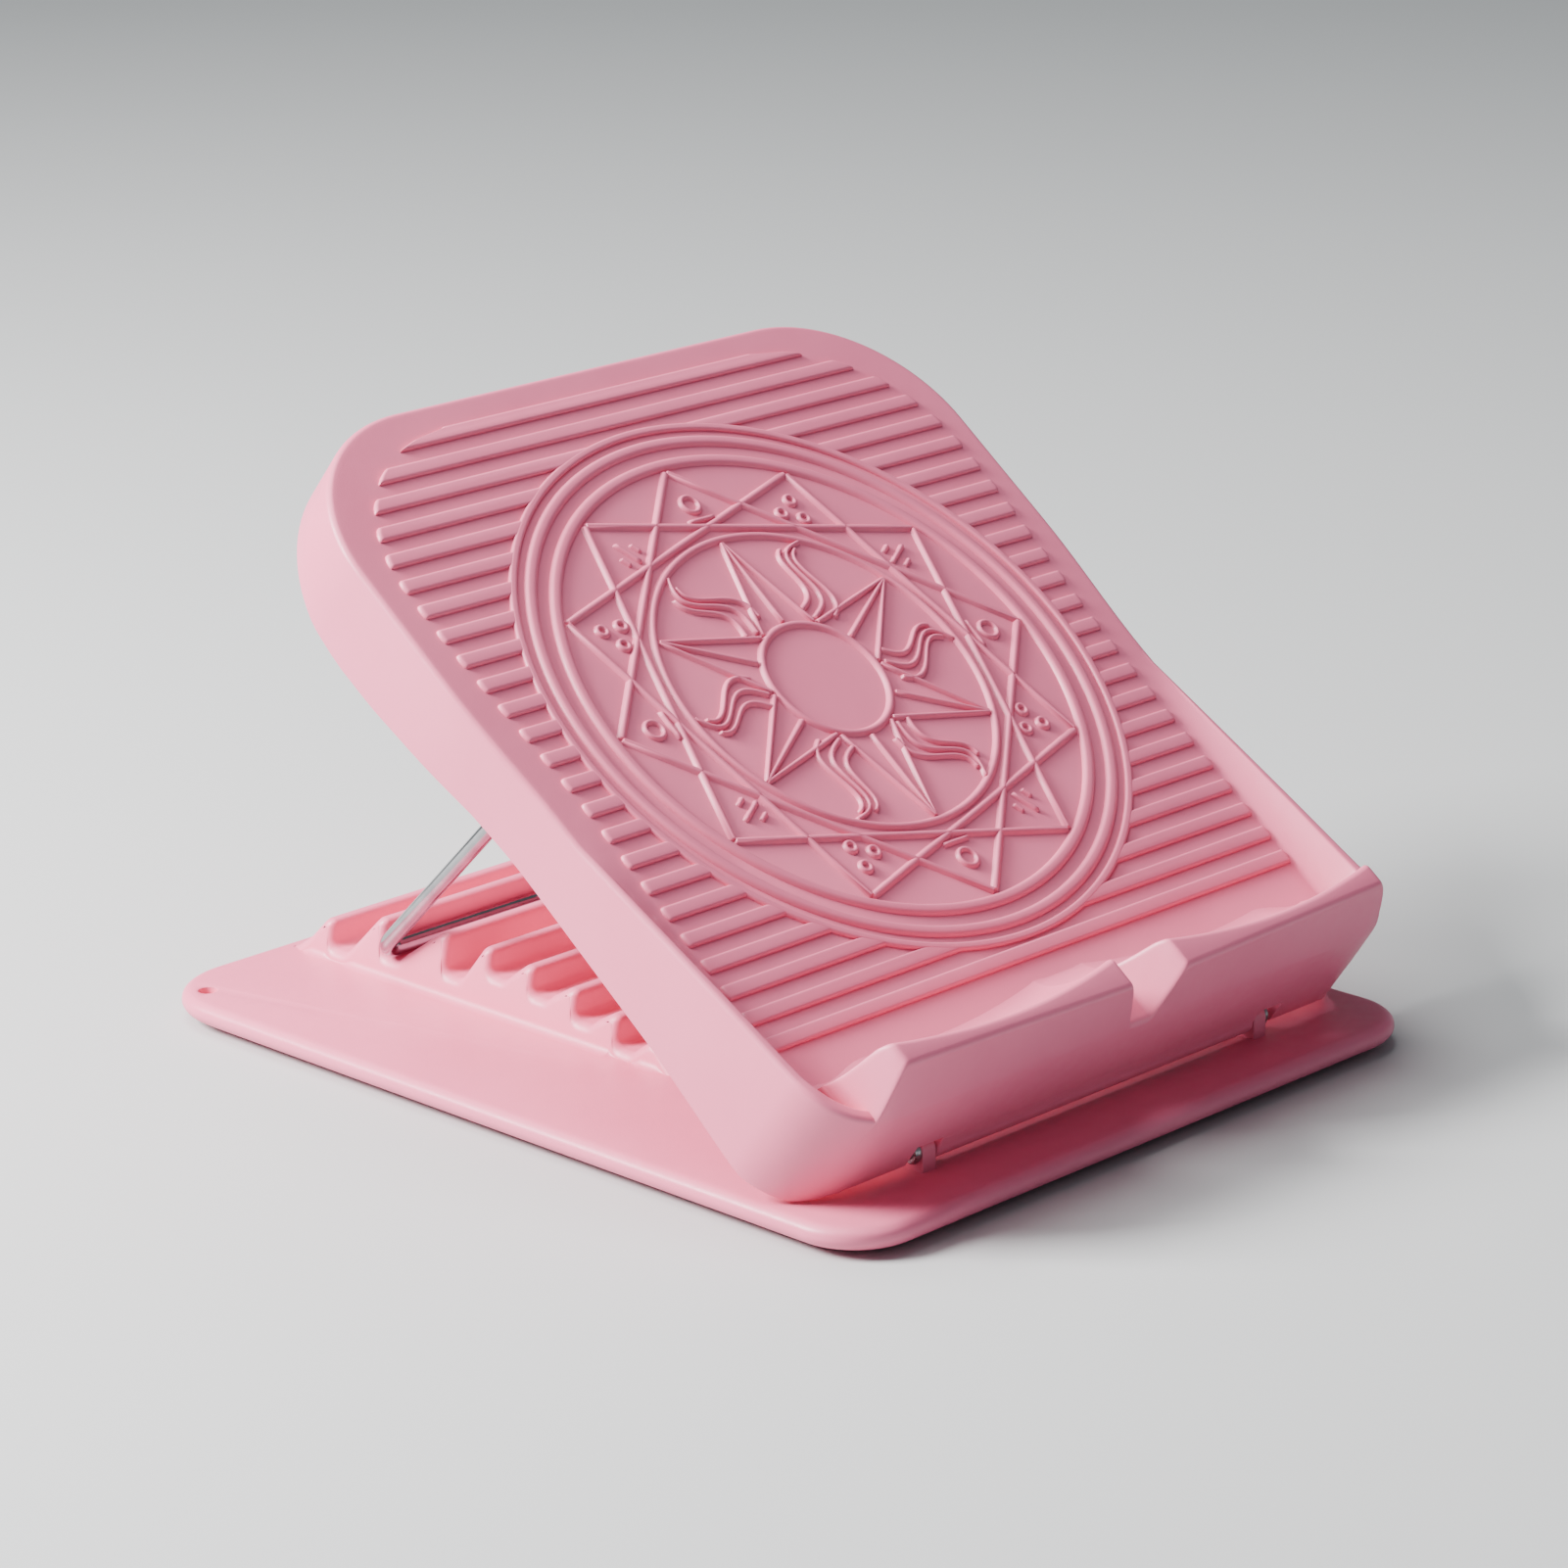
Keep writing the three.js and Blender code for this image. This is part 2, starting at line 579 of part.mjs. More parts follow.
// ---- Steel and rubber pieces --------------------------------------------------------------

function hingeRod() {
  return cylinderX(ROD_R, -ROD_HALF, ROD_HALF, 0, 0);
}

// Push-on clip on the end of the hinge rod, outside the ear.
function hingeClip(side) {
  const [x0, x1] = span(side, EAR_OUTSIDE + GAP, EAR_OUTSIDE + GAP + CLIP_THICK);
  return cylinderX(CLIP_R, x0, x1, 0, 0, 20).subtract(cylinderX(ROD_R + 0.05, x0 - 1, x1 + 1, 0, 0, 20));
}

// Bail centre line: stubs in the clamps, two legs, rounded corners, one crossbar.
function bailRoute(crossbar) {
  const pivot = new THREE.Vector3(0, PIVOT_Y, PIVOT_Z);
  const down = crossbar.clone().sub(pivot);
  const at = (x, share) => pivot.clone().addScaledVector(down, share).setX(x);
  const bend = BAIL_BEND / down.length();
  const route = new THREE.CurvePath();
  const corner = (from, knee, to) => route.add(new THREE.QuadraticBezierCurve3(from, knee, to));
  const line = (from, to) => route.add(new THREE.LineCurve3(from, to));
  const [w, b] = [BAIL_HALF, BAIL_BEND];
  line(at(-w + BAIL_STUB, 0), at(-w + b, 0));
  corner(at(-w + b, 0), at(-w, 0), at(-w, bend));
  line(at(-w, bend), at(-w, 1 - bend));
  corner(at(-w, 1 - bend), at(-w, 1), at(-w + b, 1));
  line(at(-w + b, 1), at(w - b, 1));
  corner(at(w - b, 1), at(w, 1), at(w, 1 - bend));
  line(at(w, 1 - bend), at(w, bend));
  corner(at(w, bend), at(w, 0), at(w - b, 0));
  line(at(w - b, 0), at(w - BAIL_STUB, 0));
  return route;
}

// Points along the route: ends of the straights, and short steps round the bends.
function routePoints(route) {
  const points = [route.curves[0].getPoint(0)];
  for (const curve of route.curves) {
    const steps = curve.isLineCurve3 ? 1 : 6;
    for (let i = 1; i <= steps; i += 1) points.push(curve.getPoint(i / steps));
  }
  return points;
}

// A round bar through the points: one ring of vertices square to the bar at each point.
function bar(points, radius, sides) {
  const across = points[2].clone().sub(points[1]);
  const legs = points[Math.floor(points.length / 4)].clone().sub(points[1]);
  const normal = across.cross(legs).normalize();
  return loft(points.map((point, i) => {
    const before = points[Math.max(i - 1, 0)];
    const after = points[Math.min(i + 1, points.length - 1)];
    const side = after.clone().sub(before).normalize().cross(normal).normalize();
    return Array.from({ length: sides }, (_, k) => {
      const angle = (2 * Math.PI * k) / sides;
      return point.clone().addScaledVector(side, radius * Math.cos(angle))
        .addScaledVector(normal, radius * Math.sin(angle));
    });
  }));
}

function supportBail() {
  const tilt = THREE.MathUtils.degToRad(REST_TILT);
  const crossbar = new THREE.Vector3(0, CROSSBAR_Y, CROSSBAR_Z);
  crossbar.applyAxisAngle(new THREE.Vector3(1, 0, 0), -tilt);
  return bar(routePoints(bailRoute(crossbar)), BAIL_R, 14);
}

function bailClamp(side) {
  const x = side * CLAMP_X;
  const [x0, x1] = [x - CLAMP_HALF, x + CLAMP_HALF];
  const [low, high] = CLAMP_FOOT;
  const room = BAIL_R + GAP;
  const foot = box(x0, x1, PIVOT_Y - 17, PIVOT_Y + 17, low, high);
  const saddle = box(x0, x1, PIVOT_Y - 6, PIVOT_Y + 6, low, SKIN_TOP - WALL - GAP);
  const seat = cylinderX(room, x0 - 1, x1 + 1, PIVOT_Y, PIVOT_Z);
  const mouth = box(x0 - 1, x1 + 1, PIVOT_Y - room, PIVOT_Y + room, PIVOT_Z, SKIN_TOP);
  const holes = [-SCREW_Y, SCREW_Y].map((dy) => cylinderZ(SCREW_R + GAP, x, PIVOT_Y + dy, 0, SKIN_TOP, 16));
  return foot.add(saddle).subtract(seat).subtract(mouth).subtract(joined(holes));
}

// Pan-head screw from below, with a cross drive.
function clampScrew(side, end) {
  const x = side * CLAMP_X;
  const y = PIVOT_Y + end * SCREW_Y;
  const headTop = CLAMP_FOOT[0] - GAP;
  const tip = SKIN_TOP - WALL - 1.5;
  const profile = [
    [0, headTop - 2.4], [2.2, headTop - 2.3], [3.4, headTop - 1.4], [3.8, headTop],
    [SCREW_R, headTop], [SCREW_R, tip - 0.9], [0, tip],
  ];
  const turned = new THREE.LatheGeometry(profile.map(([r, z]) => new THREE.Vector2(r, z)), 18);
  turned.rotateX(Math.PI / 2);
  turned.translate(x, y, 0);
  const arm = (halfX, halfY) => box(-halfX, halfX, -halfY, halfY, 0, headTop - 1.2);
  const drive = arm(2, 0.45).add(arm(0.45, 2));
  return solid(turned).subtract(drive.translate([x, y, 0]));
}

function foot(side, y) {
  return cylinderZ(FOOT_R, side * FOOT_X, y, 0, FOOT_PROUD + 1 - GAP, 28);
}

// ---- Assembly -----------------------------------------------------------------------------

const slantBoard = new THREE.Group();

const base = new THREE.Group();
base.position.y = HINGE_Y;
base.add(mesh('base_plate', basePlate(), pinkPlastic));
for (const [row, y] of FOOT_SPOTS.entries()) {
  base.add(mesh(`foot_left_${row + 1}`, foot(-1, y), rubber));
  base.add(mesh(`foot_right_${row + 1}`, foot(1, y), rubber));
}
slantBoard.add(base);

const hinge = new THREE.Group();
hinge.position.set(0, HINGE_Y, HINGE_Z);
hinge.add(mesh('hinge_rod', hingeRod(), zincSteel));
hinge.add(mesh('hinge_clip_left', hingeClip(-1), zincSteel));
hinge.add(mesh('hinge_clip_right', hingeClip(1), zincSteel));
slantBoard.add(hinge);

const board = new THREE.Group();
board.position.set(0, HINGE_Y, HINGE_Z);
board.rotation.x = THREE.MathUtils.degToRad(REST_TILT);
board.add(mesh('top_plate', topPlate(), pinkPlastic));
board.add(mesh('support_bail', supportBail(), steel));
for (const [side, word] of [[-1, 'left'], [1, 'right']]) {
  board.add(mesh(`bail_clamp_${word}`, bailClamp(side), clampPlastic));
  board.add(mesh(`clamp_screw_${word}_front`, clampScrew(side, -1), zincSteel));
  board.add(mesh(`clamp_screw_${word}_rear`, clampScrew(side, 1), zincSteel));
}
slantBoard.add(board);

export default slantBoard;
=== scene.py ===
# Looks of the slant board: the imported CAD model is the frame, and fine moulded shapes,
# steel, rubber and screws ride on its bodies.

import json
import math
import bmesh
import bpy
import numpy as np
from mathutils import Matrix, Vector
from mathutils.geometry import tessellate_polygon


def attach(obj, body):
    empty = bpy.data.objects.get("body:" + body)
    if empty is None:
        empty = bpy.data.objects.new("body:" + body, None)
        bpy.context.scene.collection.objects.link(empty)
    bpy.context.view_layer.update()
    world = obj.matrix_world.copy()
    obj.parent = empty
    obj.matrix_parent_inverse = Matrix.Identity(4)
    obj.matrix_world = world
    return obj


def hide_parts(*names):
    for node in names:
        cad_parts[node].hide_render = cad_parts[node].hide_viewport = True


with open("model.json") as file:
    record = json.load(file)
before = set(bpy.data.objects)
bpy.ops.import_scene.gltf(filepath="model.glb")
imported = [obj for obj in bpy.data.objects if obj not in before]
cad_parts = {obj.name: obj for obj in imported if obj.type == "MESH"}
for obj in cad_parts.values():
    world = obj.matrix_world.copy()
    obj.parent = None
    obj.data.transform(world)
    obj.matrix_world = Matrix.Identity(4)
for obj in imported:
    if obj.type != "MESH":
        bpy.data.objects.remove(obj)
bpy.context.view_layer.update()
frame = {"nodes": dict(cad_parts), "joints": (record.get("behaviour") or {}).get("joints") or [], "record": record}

MM = 0.001

# ---- Frames ------------------------------------------------

JOINTS = {joint["name"]: joint for joint in frame["joints"]}
MOUNTS = {mount["name"]: mount for mount in frame["record"]["mounts"]}

HINGE = Vector(JOINTS["board_tilt"]["pos_m"])
DECK_NORMAL = Vector(MOUNTS["deck_face"]["axis"])
TILT = math.atan2(-DECK_NORMAL.y, DECK_NORMAL.z)

# Board frame: origin on the hinge axis, Y up the slope, Z out of the deck, in millimetres.
BOARD_FRAME = Matrix.Translation(HINGE) @ Matrix.Rotation(TILT, 4, "X") @ Matrix.Scale(MM, 4)
# Base frame: Y from the hinge axis, Z from the floor, in millimetres.
BASE_FRAME = Matrix.Translation((0, HINGE.y, 0)) @ Matrix.Scale(MM, 4)


def body_of_node(node):
    """Name of the body that a CAD node rides on."""
    groups = frame["record"]["behaviour"]["bodies"]
    return next(body for body, members in groups.items() if node in members)


# ---- Dimensions in millimetres -----------------------------

# Places and outer sizes are the CAD's. Edges and raised lines are rounded in more detail here.

HINGE_Z = HINGE.z / MM
FOOT_PROUD = 2.2
BASE_TOP = 11
BASE_WALL = 2.5
WALL = 3
STIFFENER_DEPTH = 5
THIN = 1                            # half the thickness of a stiffening rib
BOX_BEVEL = 0.4
SUNK = 0.03                         # a face that runs under another one lies this much deeper
PROUD = 0.04                        # and one that runs over it stands this far out

BASE_PLAN = {"half_front": 143.5, "half_rear": 143.5, "front": -29.5, "rear": 323.3,
             "corner_front": 25, "corner_rear": 32}
BASE_BEAD = [(-5, 2.2), (-2.2, 3.4), (-0.6, 5.0), (0, 6.8), (-0.6, 9.0), (-2.6, 10.5), (-4.6, 11)]
POCKET_INSET = 7.5
HANG_HOLE = {"x": 131, "y": 303, "radius": 3.4}
BASE_RIBS = [40, 88]
BASE_RIBS_BESIDE_RACK = [140, 192, 244, 296]
BASE_RIB_END = 137
BASE_LONG_RIB = 104
FOOT_SPOTS = [-8, 88, 184, 280]
FOOT_X = 121
FOOT_R = 9

BOARD_PLAN = {"half_front": 144, "half_rear": 147.5, "front": -2.9, "rear": 316.5,
              "corner_front": 27, "corner_rear": 60, "swell": (140, 205)}
DECK_TOP = 20.1
RELIEF = 1.3
FIELD = DECK_TOP - RELIEF
EDGE_R = 2.25                       # rounding of the deck's outer edge
DRAFT = 1
DRAFT_LOW = -24
RIM_TOP = 33.8
RIM_EDGE_R = 2
RIM_LEAN = 0.8
RIM_CREST = 1.6                     # width of the rim's level top
RIM_CREST_R = 1.3
RIM_FOOT = -13.5                    # where the rim's inside meets the deck
LOWER_EDGE_R = 0.8
CEILING_FILLET = 1.5
BOARD_CROSS_RIBS = [(52, 141), (104, 141), (156, 141), (248, 141), (286, 118)]      # y and half length
BOARD_LONG_RIBS = [-100, -32, 32, 100]
LOWER_EDGE = [(-8, -2.4), (-2.4, -2.6), (-0.5, -7), (4, -10.6), (18, -12.4), (36, -11.4), (68, -9.3),
              (150, -8.8), (172, -9.3), (200, -12.3), (226, -15.1), (246, -15.7), (262, -14),
              (286, -9), (304, -5.6), (340, -5)]
RIM_EDGE = [(-8, 33.8), (16, 33.8), (26, 32.4), (60, 28.4), (105, 22.6), (142, 17.8), (340, 17.8)]

LIP_TOP = 54.4
LIP_HALF = 121.5
LIP_FLARE = 4.4                     # how far its ends slope out below the top
LIP_LEAN = (2, 5.2)                 # y of its front top edge in the middle and at the ends
LIP_DEPTH = 15
LIP_EDGE_R = (1.4, 2.5)             # smallest and largest rounding of its top edges
HEEL_CUP = 6.2
NOTCH_HALF_TOP = 13.3
NOTCH_HALF_BOTTOM = 5.5
NOTCH_FLOOR = 34.5

RIB_COUNT = 24
RIB_PITCH = 11.25
RIB_WIDTH = 5.8
RIB_FIRST = 299.5
RIB_CORNER = {"x": 75.5, "y": 243.2, "radius": 61}
RIB_TAPER = 5.2
RIB_TAPER_SPAN = (137, 235)
MEDALLION_Y = 166.6
BAND = (115.4, 118.6)
RING_RADII = [110.4, 101.3]
RING_WIDTH = 4.9
RING_HEIGHT = 1.5
STAR_R = 98
INNER_RING_R = 0.668 * STAR_R
SUN_R = 0.25 * STAR_R
SUN_RING_WIDTH = 3.6
RAY_FOOT = 0.265 * STAR_R
RAY_TIP = 0.655 * STAR_R
WAVE_FOOT = 0.285                   # a wavy ray, in shares of the star's radius
WAVE_LENGTH = 0.375
WAVE_HEIGHT = 0.062
WAVE_STRANDS = [(0.07, 0.31, 0.60), (0.0, 0.285, 0.66), (-0.07, 0.31, 0.62)]        # spread, foot, tip
RIDGE = 3.5                         # width of the other raised lines
RIDGE_HEIGHT = 1.35
RAY_RIDGE = 2.9
WAVE_RIDGE = 2.8
ORNAMENT_RIDGE = 2.4
ORNAMENT_HEIGHT = 1.2

BARREL_R = 4.8
BARREL_HALF = 80
EAR_THICK = 6.4
EAR_OUTSIDE = 87.1
ROD_R = 2.5
ROD_HALF = 90.2
CLIP_THICK = 2
EAR_GAP_END = 92.5
EAR_GAP_TOP = 7.4

BAIL_R = 3
BAIL_HALF = 82
BAIL_BEND = 9
BAIL_STUB = 34
BAIL_SIDES = 28
END_CAP = [(0.01, 0), (0.8, 0), (1, 0.6)]       # share of the radius and how far it stands back
PIVOT_Y = 188.8
PIVOT_Z = 12.4
CROSSBAR = (265.7, 3.6)
CLAMP_X = 57
SCREW_Y = 12
SCREW_HEAD_Z = 6.3

RACK_HALF_TOP = 75
RACK_HALF_FOOT = 80.5
RACK_PEAK = 21.8
RACK_PEAK_Y = 232
RACK_ARCH = 0.00127
NOTCHES = [(290.4, 13.8), (263.1, 13.8), (230.2, 13.8), (207.7, 8.5), (185.8, 8.5), (163, 8.5),
           (141.2, 8.5)]            # y and depth, from the rear
NOTCH_SHAPE = [(-4.2, 2), (-2.4, 0), (4.2, 0), (6, 2)]      # y in the notch and height over its floor
TOOTH_TOP = (6.5, 10.5)             # y of the tooth behind a notch, from that notch
REAR_TOOTH_DROP = 2.5
RACK_OPENING = (108, 316.5)         # y of the opening in the base's top under the rack
RACK_HOLLOW = (116, 310)
RACK_STEP = 0.05                    # spacing of the points that the tooth profile is worked out on
RACK_FRONT = 104
RACK_REAR = 318.4
NOTCH_R = 3.1
TOOTH_R = 1.9
RACK_SIDE_R = 3
RACK_FOOT_FILLET = 3.5

# ---- Mesh helpers ------------------------------------------


class Shape:
    """Vertices and faces collected for one piece, in millimetres of one frame."""

    def __init__(self):
        self.points = []
        self.faces = []

    def add_points(self, points):
        start = len(self.points)
        self.points.extend(tuple(map(float, point)) for point in points)
        return start

    def grid(self, rows, around=False, flip=False):
        """Quads over rows of points that all have the same number of points."""
        rows = np.asarray(rows, dtype=float)
        count = rows.shape[1]
        start = self.add_points(rows.reshape(-1, 3))
        steps = count if around else count - 1
        for r in range(rows.shape[0] - 1):
            for c in range(steps):
                a = start + r * count + c
                b = start + r * count + (c + 1) % count
                quad = (a, b, b + count, a + count)
                self.faces.append(quad[::-1] if flip else quad)

    def fill(self, outer, holes=(), flip=False):
        """A flat face inside a ring of points, around any holes."""
        loops = [[Vector(point) for point in loop] for loop in (outer, *holes)]
        start = self.add_points([point for loop in loops for point in loop])
        for triangle in tessellate_polygon(loops):
            a, b, c = (self.points[start + i] for i in triangle)
            up = (b[0] - a[0]) * (c[1] - a[1]) - (b[1] - a[1]) * (c[0] - a[0]) > 0
            face = tuple(start + i for i in triangle)
            self.faces.append(face if up != flip else face[::-1])

    def cap(self, ring, flip=False):
        """One face over a ring of points."""
        start = self.add_points(ring)
        face = tuple(range(start, start + len(ring)))
        self.faces.append(face[::-1] if flip else face)

    def box(self, x0, x1, y0, y1, z0, z1):
        """A closed box with small bevels on its upright and level edges."""
        b = min(BOX_BEVEL, (x1 - x0) / 3, (y1 - y0) / 3, (z1 - z0) / 3)
        rings = []
        for inset, z in ((b, z0), (0, z0 + b), (0, z1 - b), (b, z1)):
            rings.append(chamfered(x0 + inset, x1 - inset, y0 + inset, y1 - inset, b, z))
        self.grid(rings, around=True)
        self.cap(rings[0], flip=True)
        self.cap(rings[-1])

    def turned(self, profile, centre, axis="Z", sides=40, closed=False):
        """A surface of revolution through (radius, height) points."""
        rings = []
        for radius, height in profile:
            ring = []
            for k in range(sides):
                angle = 2 * math.pi * k / sides
                u, v = radius * math.cos(angle), radius * math.sin(angle)
                offset = (u, v, height) if axis == "Z" else (height, u, v)
                ring.append(tuple(c + o for c, o in zip(centre, offset)))
            rings.append(ring)
        if closed:
            rings.append(rings[0])
        self.grid(rings, around=True)

    def piece(self, name, frame_matrix, body, material, replaced=(), sharp=32, outwards=True):
        """The finished object, riding on its body."""
        mesh = bpy.data.meshes.new(name)
        mesh.from_pydata(self.points, [], self.faces)
        mesh.transform(frame_matrix)
        mesh.polygons.foreach_set("use_smooth", [True] * len(mesh.polygons))
        mesh.materials.append(material["material"])
        obj = bpy.data.objects.new(name, mesh)
        bpy.context.scene.collection.objects.link(obj)
        weld(obj, outwards)
        mesh.set_sharp_from_angle(angle=math.radians(sharp))
        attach(obj, body)
        if replaced:
            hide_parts(*replaced)


def weld(obj, outwards):
    """Joins points that coincide and, with `outwards`, turns every shell to face out."""
    work = bmesh.new()
    work.from_mesh(obj.data)
    bmesh.ops.remove_doubles(work, verts=work.verts, dist=2e-6)
    bmesh.ops.dissolve_degenerate(work, dist=1e-7, edges=work.edges)
    if outwards:
        bmesh.ops.recalc_face_normals(work, faces=work.faces)
    work.to_mesh(obj.data)
    work.free()


def chamfered(x0, x1, y0, y1, b, z):
    """A rectangle with cut corners, as a ring of points."""
    return [(x0 + b, y0, z), (x1 - b, y0, z), (x1, y0 + b, z), (x1, y1 - b, z),
            (x1 - b, y1, z), (x0 + b, y1, z), (x0, y1 - b, z), (x0, y0 + b, z)]


def smoothstep(value, low, high):
    t = np.clip((value - low) / (high - low), 0, 1)
    return t * t * (3 - 2 * t)


def arc(centre, radius, start, end, steps):
    """Points on an arc in a plane, angles in degrees."""
    angles = np.radians(np.linspace(start, end, steps + 1))
    return [(centre[0] + radius * math.cos(a), centre[1] + radius * math.sin(a)) for a in angles]


def curve_through(knots, steps):
    """A smooth curve through points in a plane (Catmull-Rom)."""
    knots = np.asarray(knots, dtype=float)
    padded = np.vstack([2 * knots[0] - knots[1], knots, 2 * knots[-1] - knots[-2]])
    points = [knots[0]]
    for i in range(1, len(padded) - 2):
        p0, p1, p2, p3 = padded[i - 1:i + 3]
        for step in range(1, steps + 1):
            t = step / steps
            points.append(0.5 * (2 * p1 + (p2 - p0) * t + (2 * p0 - 5 * p1 + 4 * p2 - p3) * t ** 2
                                 + (3 * p1 - p0 - 3 * p2 + p3) * t ** 3))
    return np.array(points)


def softened(knots, reach):
    """A function of y through (y, z) knots, rounded over `reach` millimetres at each knot."""
    step = 0.25
    ys = np.arange(knots[0][0] - 4 * reach, knots[-1][0] + 4 * reach, step)
    zs = np.interp(ys, *np.array(knots, dtype=float).T)
    width = int(reach / step)
    kernel = np.hanning(2 * width + 3)
    rounded = np.convolve(zs, kernel / kernel.sum(), mode="same")
    return lambda y: float(np.interp(y, ys, rounded))


# ---- Outlines ----------------------------------------------


def half_outline(plan, corner_steps, side_steps, front_xs, rear_steps):
    """Right half of an outline, front to rear: (x, y, outward x, outward y)."""
    half_front, half_rear = plan["half_front"], plan["half_rear"]
    rf, rr = plan["corner_front"], plan["corner_rear"]
    swell = plan.get("swell", (0, 1))
    points = [(x, plan["front"], 0, -1) for x in front_xs]
    for k in range(corner_steps + 1):
        a = math.radians(-90 + 90 * k / corner_steps)
        points.append((half_front - rf + rf * math.cos(a), plan["front"] + rf + rf * math.sin(a),
                       math.cos(a), math.sin(a)))
    y0, y1 = plan["front"] + rf, plan["rear"] - rr
    for k in range(1, side_steps):
        y = y0 + (y1 - y0) * k / side_steps
        x = half_front + (half_rear - half_front) * smoothstep(y, *swell)
        points.append((x, y, 1, 0))
    for k in range(corner_steps + 1):
        a = math.radians(90 * k / corner_steps)
        points.append((half_rear - rr + rr * math.cos(a), y1 + rr * math.sin(a), math.cos(a), math.sin(a)))
    for k in range(1, rear_steps):
        points.append(((half_rear - rr) * (1 - k / rear_steps), plan["rear"], 0, 1))
    return points


def whole_outline(half):
    """The whole ring, counter-clockwise from above, as an array of (x, y, nx, ny)."""
    right = np.array(half)
    left = right[::-1] * np.array([-1, 1, -1, 1])
    return np.vstack([right, left[np.abs(left[:, 0]) > 1e-9]])


def offset_ring(ring, out, z):
    """The outline moved outwards, at one height or at a height for each point."""
    heights = np.broadcast_to(z, (len(ring),))
    outs = np.broadcast_to(out, (len(ring),))
    return np.column_stack([ring[:, 0] + ring[:, 2] * outs, ring[:, 1] + ring[:, 3] * outs, heights])


# ---- Materials ---------------------------------------------


def new_material(name, slot, **settings):
    material = bpy.data.materials.new(name)
    material.use_nodes = True
    shader = material.node_tree.nodes["Principled BSDF"]
    for key, value in settings.items():
        shader.inputs[key.replace("_", " ")].default_value = value
    return {"material": material, "slot": slot, "shader": shader, "tree": material.node_tree}


def noise(made, scale, detail):
    """A noise texture in object space; scale in cells per metre."""
    tree = made["tree"]
    place = tree.nodes.new("ShaderNodeTexCoord")
    texture = tree.nodes.new("ShaderNodeTexNoise")
    texture.inputs["Scale"].default_value = scale
    texture.inputs["Detail"].default_value = detail
    tree.links.new(place.outputs["Object"], texture.inputs["Vector"])
    return texture.outputs["Fac"]


def colours(made, value, stops):
    """The base colour from a value through a ramp of (position, colour) stops."""
    ramp = made["tree"].nodes.new("ShaderNodeValToRGB")
    while len(ramp.color_ramp.elements) < len(stops):
        ramp.color_ramp.elements.new(0.5)
    for element, (position, colour) in zip(ramp.color_ramp.elements, stops):
        element.position = position
        element.color = (*colour, 1)
    made["tree"].links.new(value, ramp.inputs["Fac"])
    made["tree"].links.new(ramp.outputs["Color"], made["shader"].inputs["Base Color"])


def roughness_range(made, value, low, high):
    span = made["tree"].nodes.new("ShaderNodeMapRange")
    span.inputs["From Min"].default_value = 0.3
    span.inputs["From Max"].default_value = 0.7
    span.inputs["To Min"].default_value = low
    span.inputs["To Max"].default_value = high
    made["tree"].links.new(value, span.inputs["Value"])
    made["tree"].links.new(span.outputs["Result"], made["shader"].inputs["Roughness"])


def bumps(made, layers):
    """Bump layers of (value, depth in metres), one on another."""
    tree = made["tree"]
    normal = None
    for value, depth in layers:
        bump = tree.nodes.new("ShaderNodeBump")
        bump.inputs["Distance"].default_value = depth
        tree.links.new(value, bump.inputs["Height"])
        if normal is not None:
            tree.links.new(normal, bump.inputs["Normal"])
        normal = bump.outputs["Normal"]
    tree.links.new(normal, made["shader"].inputs["Normal"])


def pink_plastic():
    """Satin moulded plastic: fine spark-eroded grain, faint flow mottling."""
    made = new_material("pink_plastic", "pink_plastic", IOR=1.46, Specular_IOR_Level=0.55)
    flow = noise(made, 22, detail=4)
    colours(made, flow, [(0.3, (0.80, 0.172, 0.292)), (0.7, (0.84, 0.190, 0.314))])
    grain = noise(made, 2600, detail=2)
    waves = noise(made, 60, detail=2)
    roughness_range(made, noise(made, 240, detail=5), 0.34, 0.44)
    bumps(made, [(waves, 0.00012), (grain, 0.00006)])
    return made


def polished_steel():
    made = new_material("bail_steel", "bail_steel", Metallic=1.0)
    colours(made, noise(made, 90, detail=4), [(0.35, (0.30, 0.30, 0.31)), (0.7, (0.40, 0.40, 0.41))])
    roughness_range(made, noise(made, 900, detail=4), 0.10, 0.2)
    bumps(made, [(noise(made, 1500, detail=3), 0.000012)])
    return made


def zinc_steel():
    made = new_material("zinc_steel", "zinc_steel", Metallic=1.0)
    colours(made, noise(made, 320, detail=5), [(0.3, (0.26, 0.26, 0.28)), (0.7, (0.38, 0.38, 0.39))])
    roughness_range(made, noise(made, 1400, detail=4), 0.24, 0.42)
    bumps(made, [(noise(made, 2200, detail=2), 0.00002)])
    return made


def clamp_plastic():
    made = new_material("clamp_plastic", "clamp_plastic")
    colours(made, noise(made, 60, detail=4), [(0.3, (0.68, 0.265, 0.345)), (0.7, (0.74, 0.30, 0.38))])
    roughness_range(made, noise(made, 500, detail=4), 0.45, 0.6)
    bumps(made, [(noise(made, 2400, detail=2), 0.00006)])
    return made


def foot_rubber():
    made = new_material("foot_rubber", "foot_rubber", Specular_IOR_Level=0.3)
    colours(made, noise(made, 180, detail=5), [(0.3, (0.25, 0.23, 0.24)), (0.7, (0.33, 0.30, 0.31))])
    roughness_range(made, noise(made, 700, detail=4), 0.75, 0.92)
    bumps(made, [(noise(made, 3000, detail=3), 0.00005)])
    return made


# ---- Foot board: shell -------------------------------------


def wall_out(z):
    """How far the side wall stands outside the outline at height z."""
    return DRAFT * np.clip((FIELD - EDGE_R - z) / (FIELD - EDGE_R - DRAFT_LOW), 0, 1)


def board_outline():
    ear_gap = [BARREL_HALF - 0.05, BARREL_HALF + 0.05, EAR_GAP_END - 0.05, EAR_GAP_END + 0.05]
    front_xs = sorted([*np.linspace(0, 114, 16), *ear_gap])
    return whole_outline(half_outline(BOARD_PLAN, 26, 36, front_xs, 10))


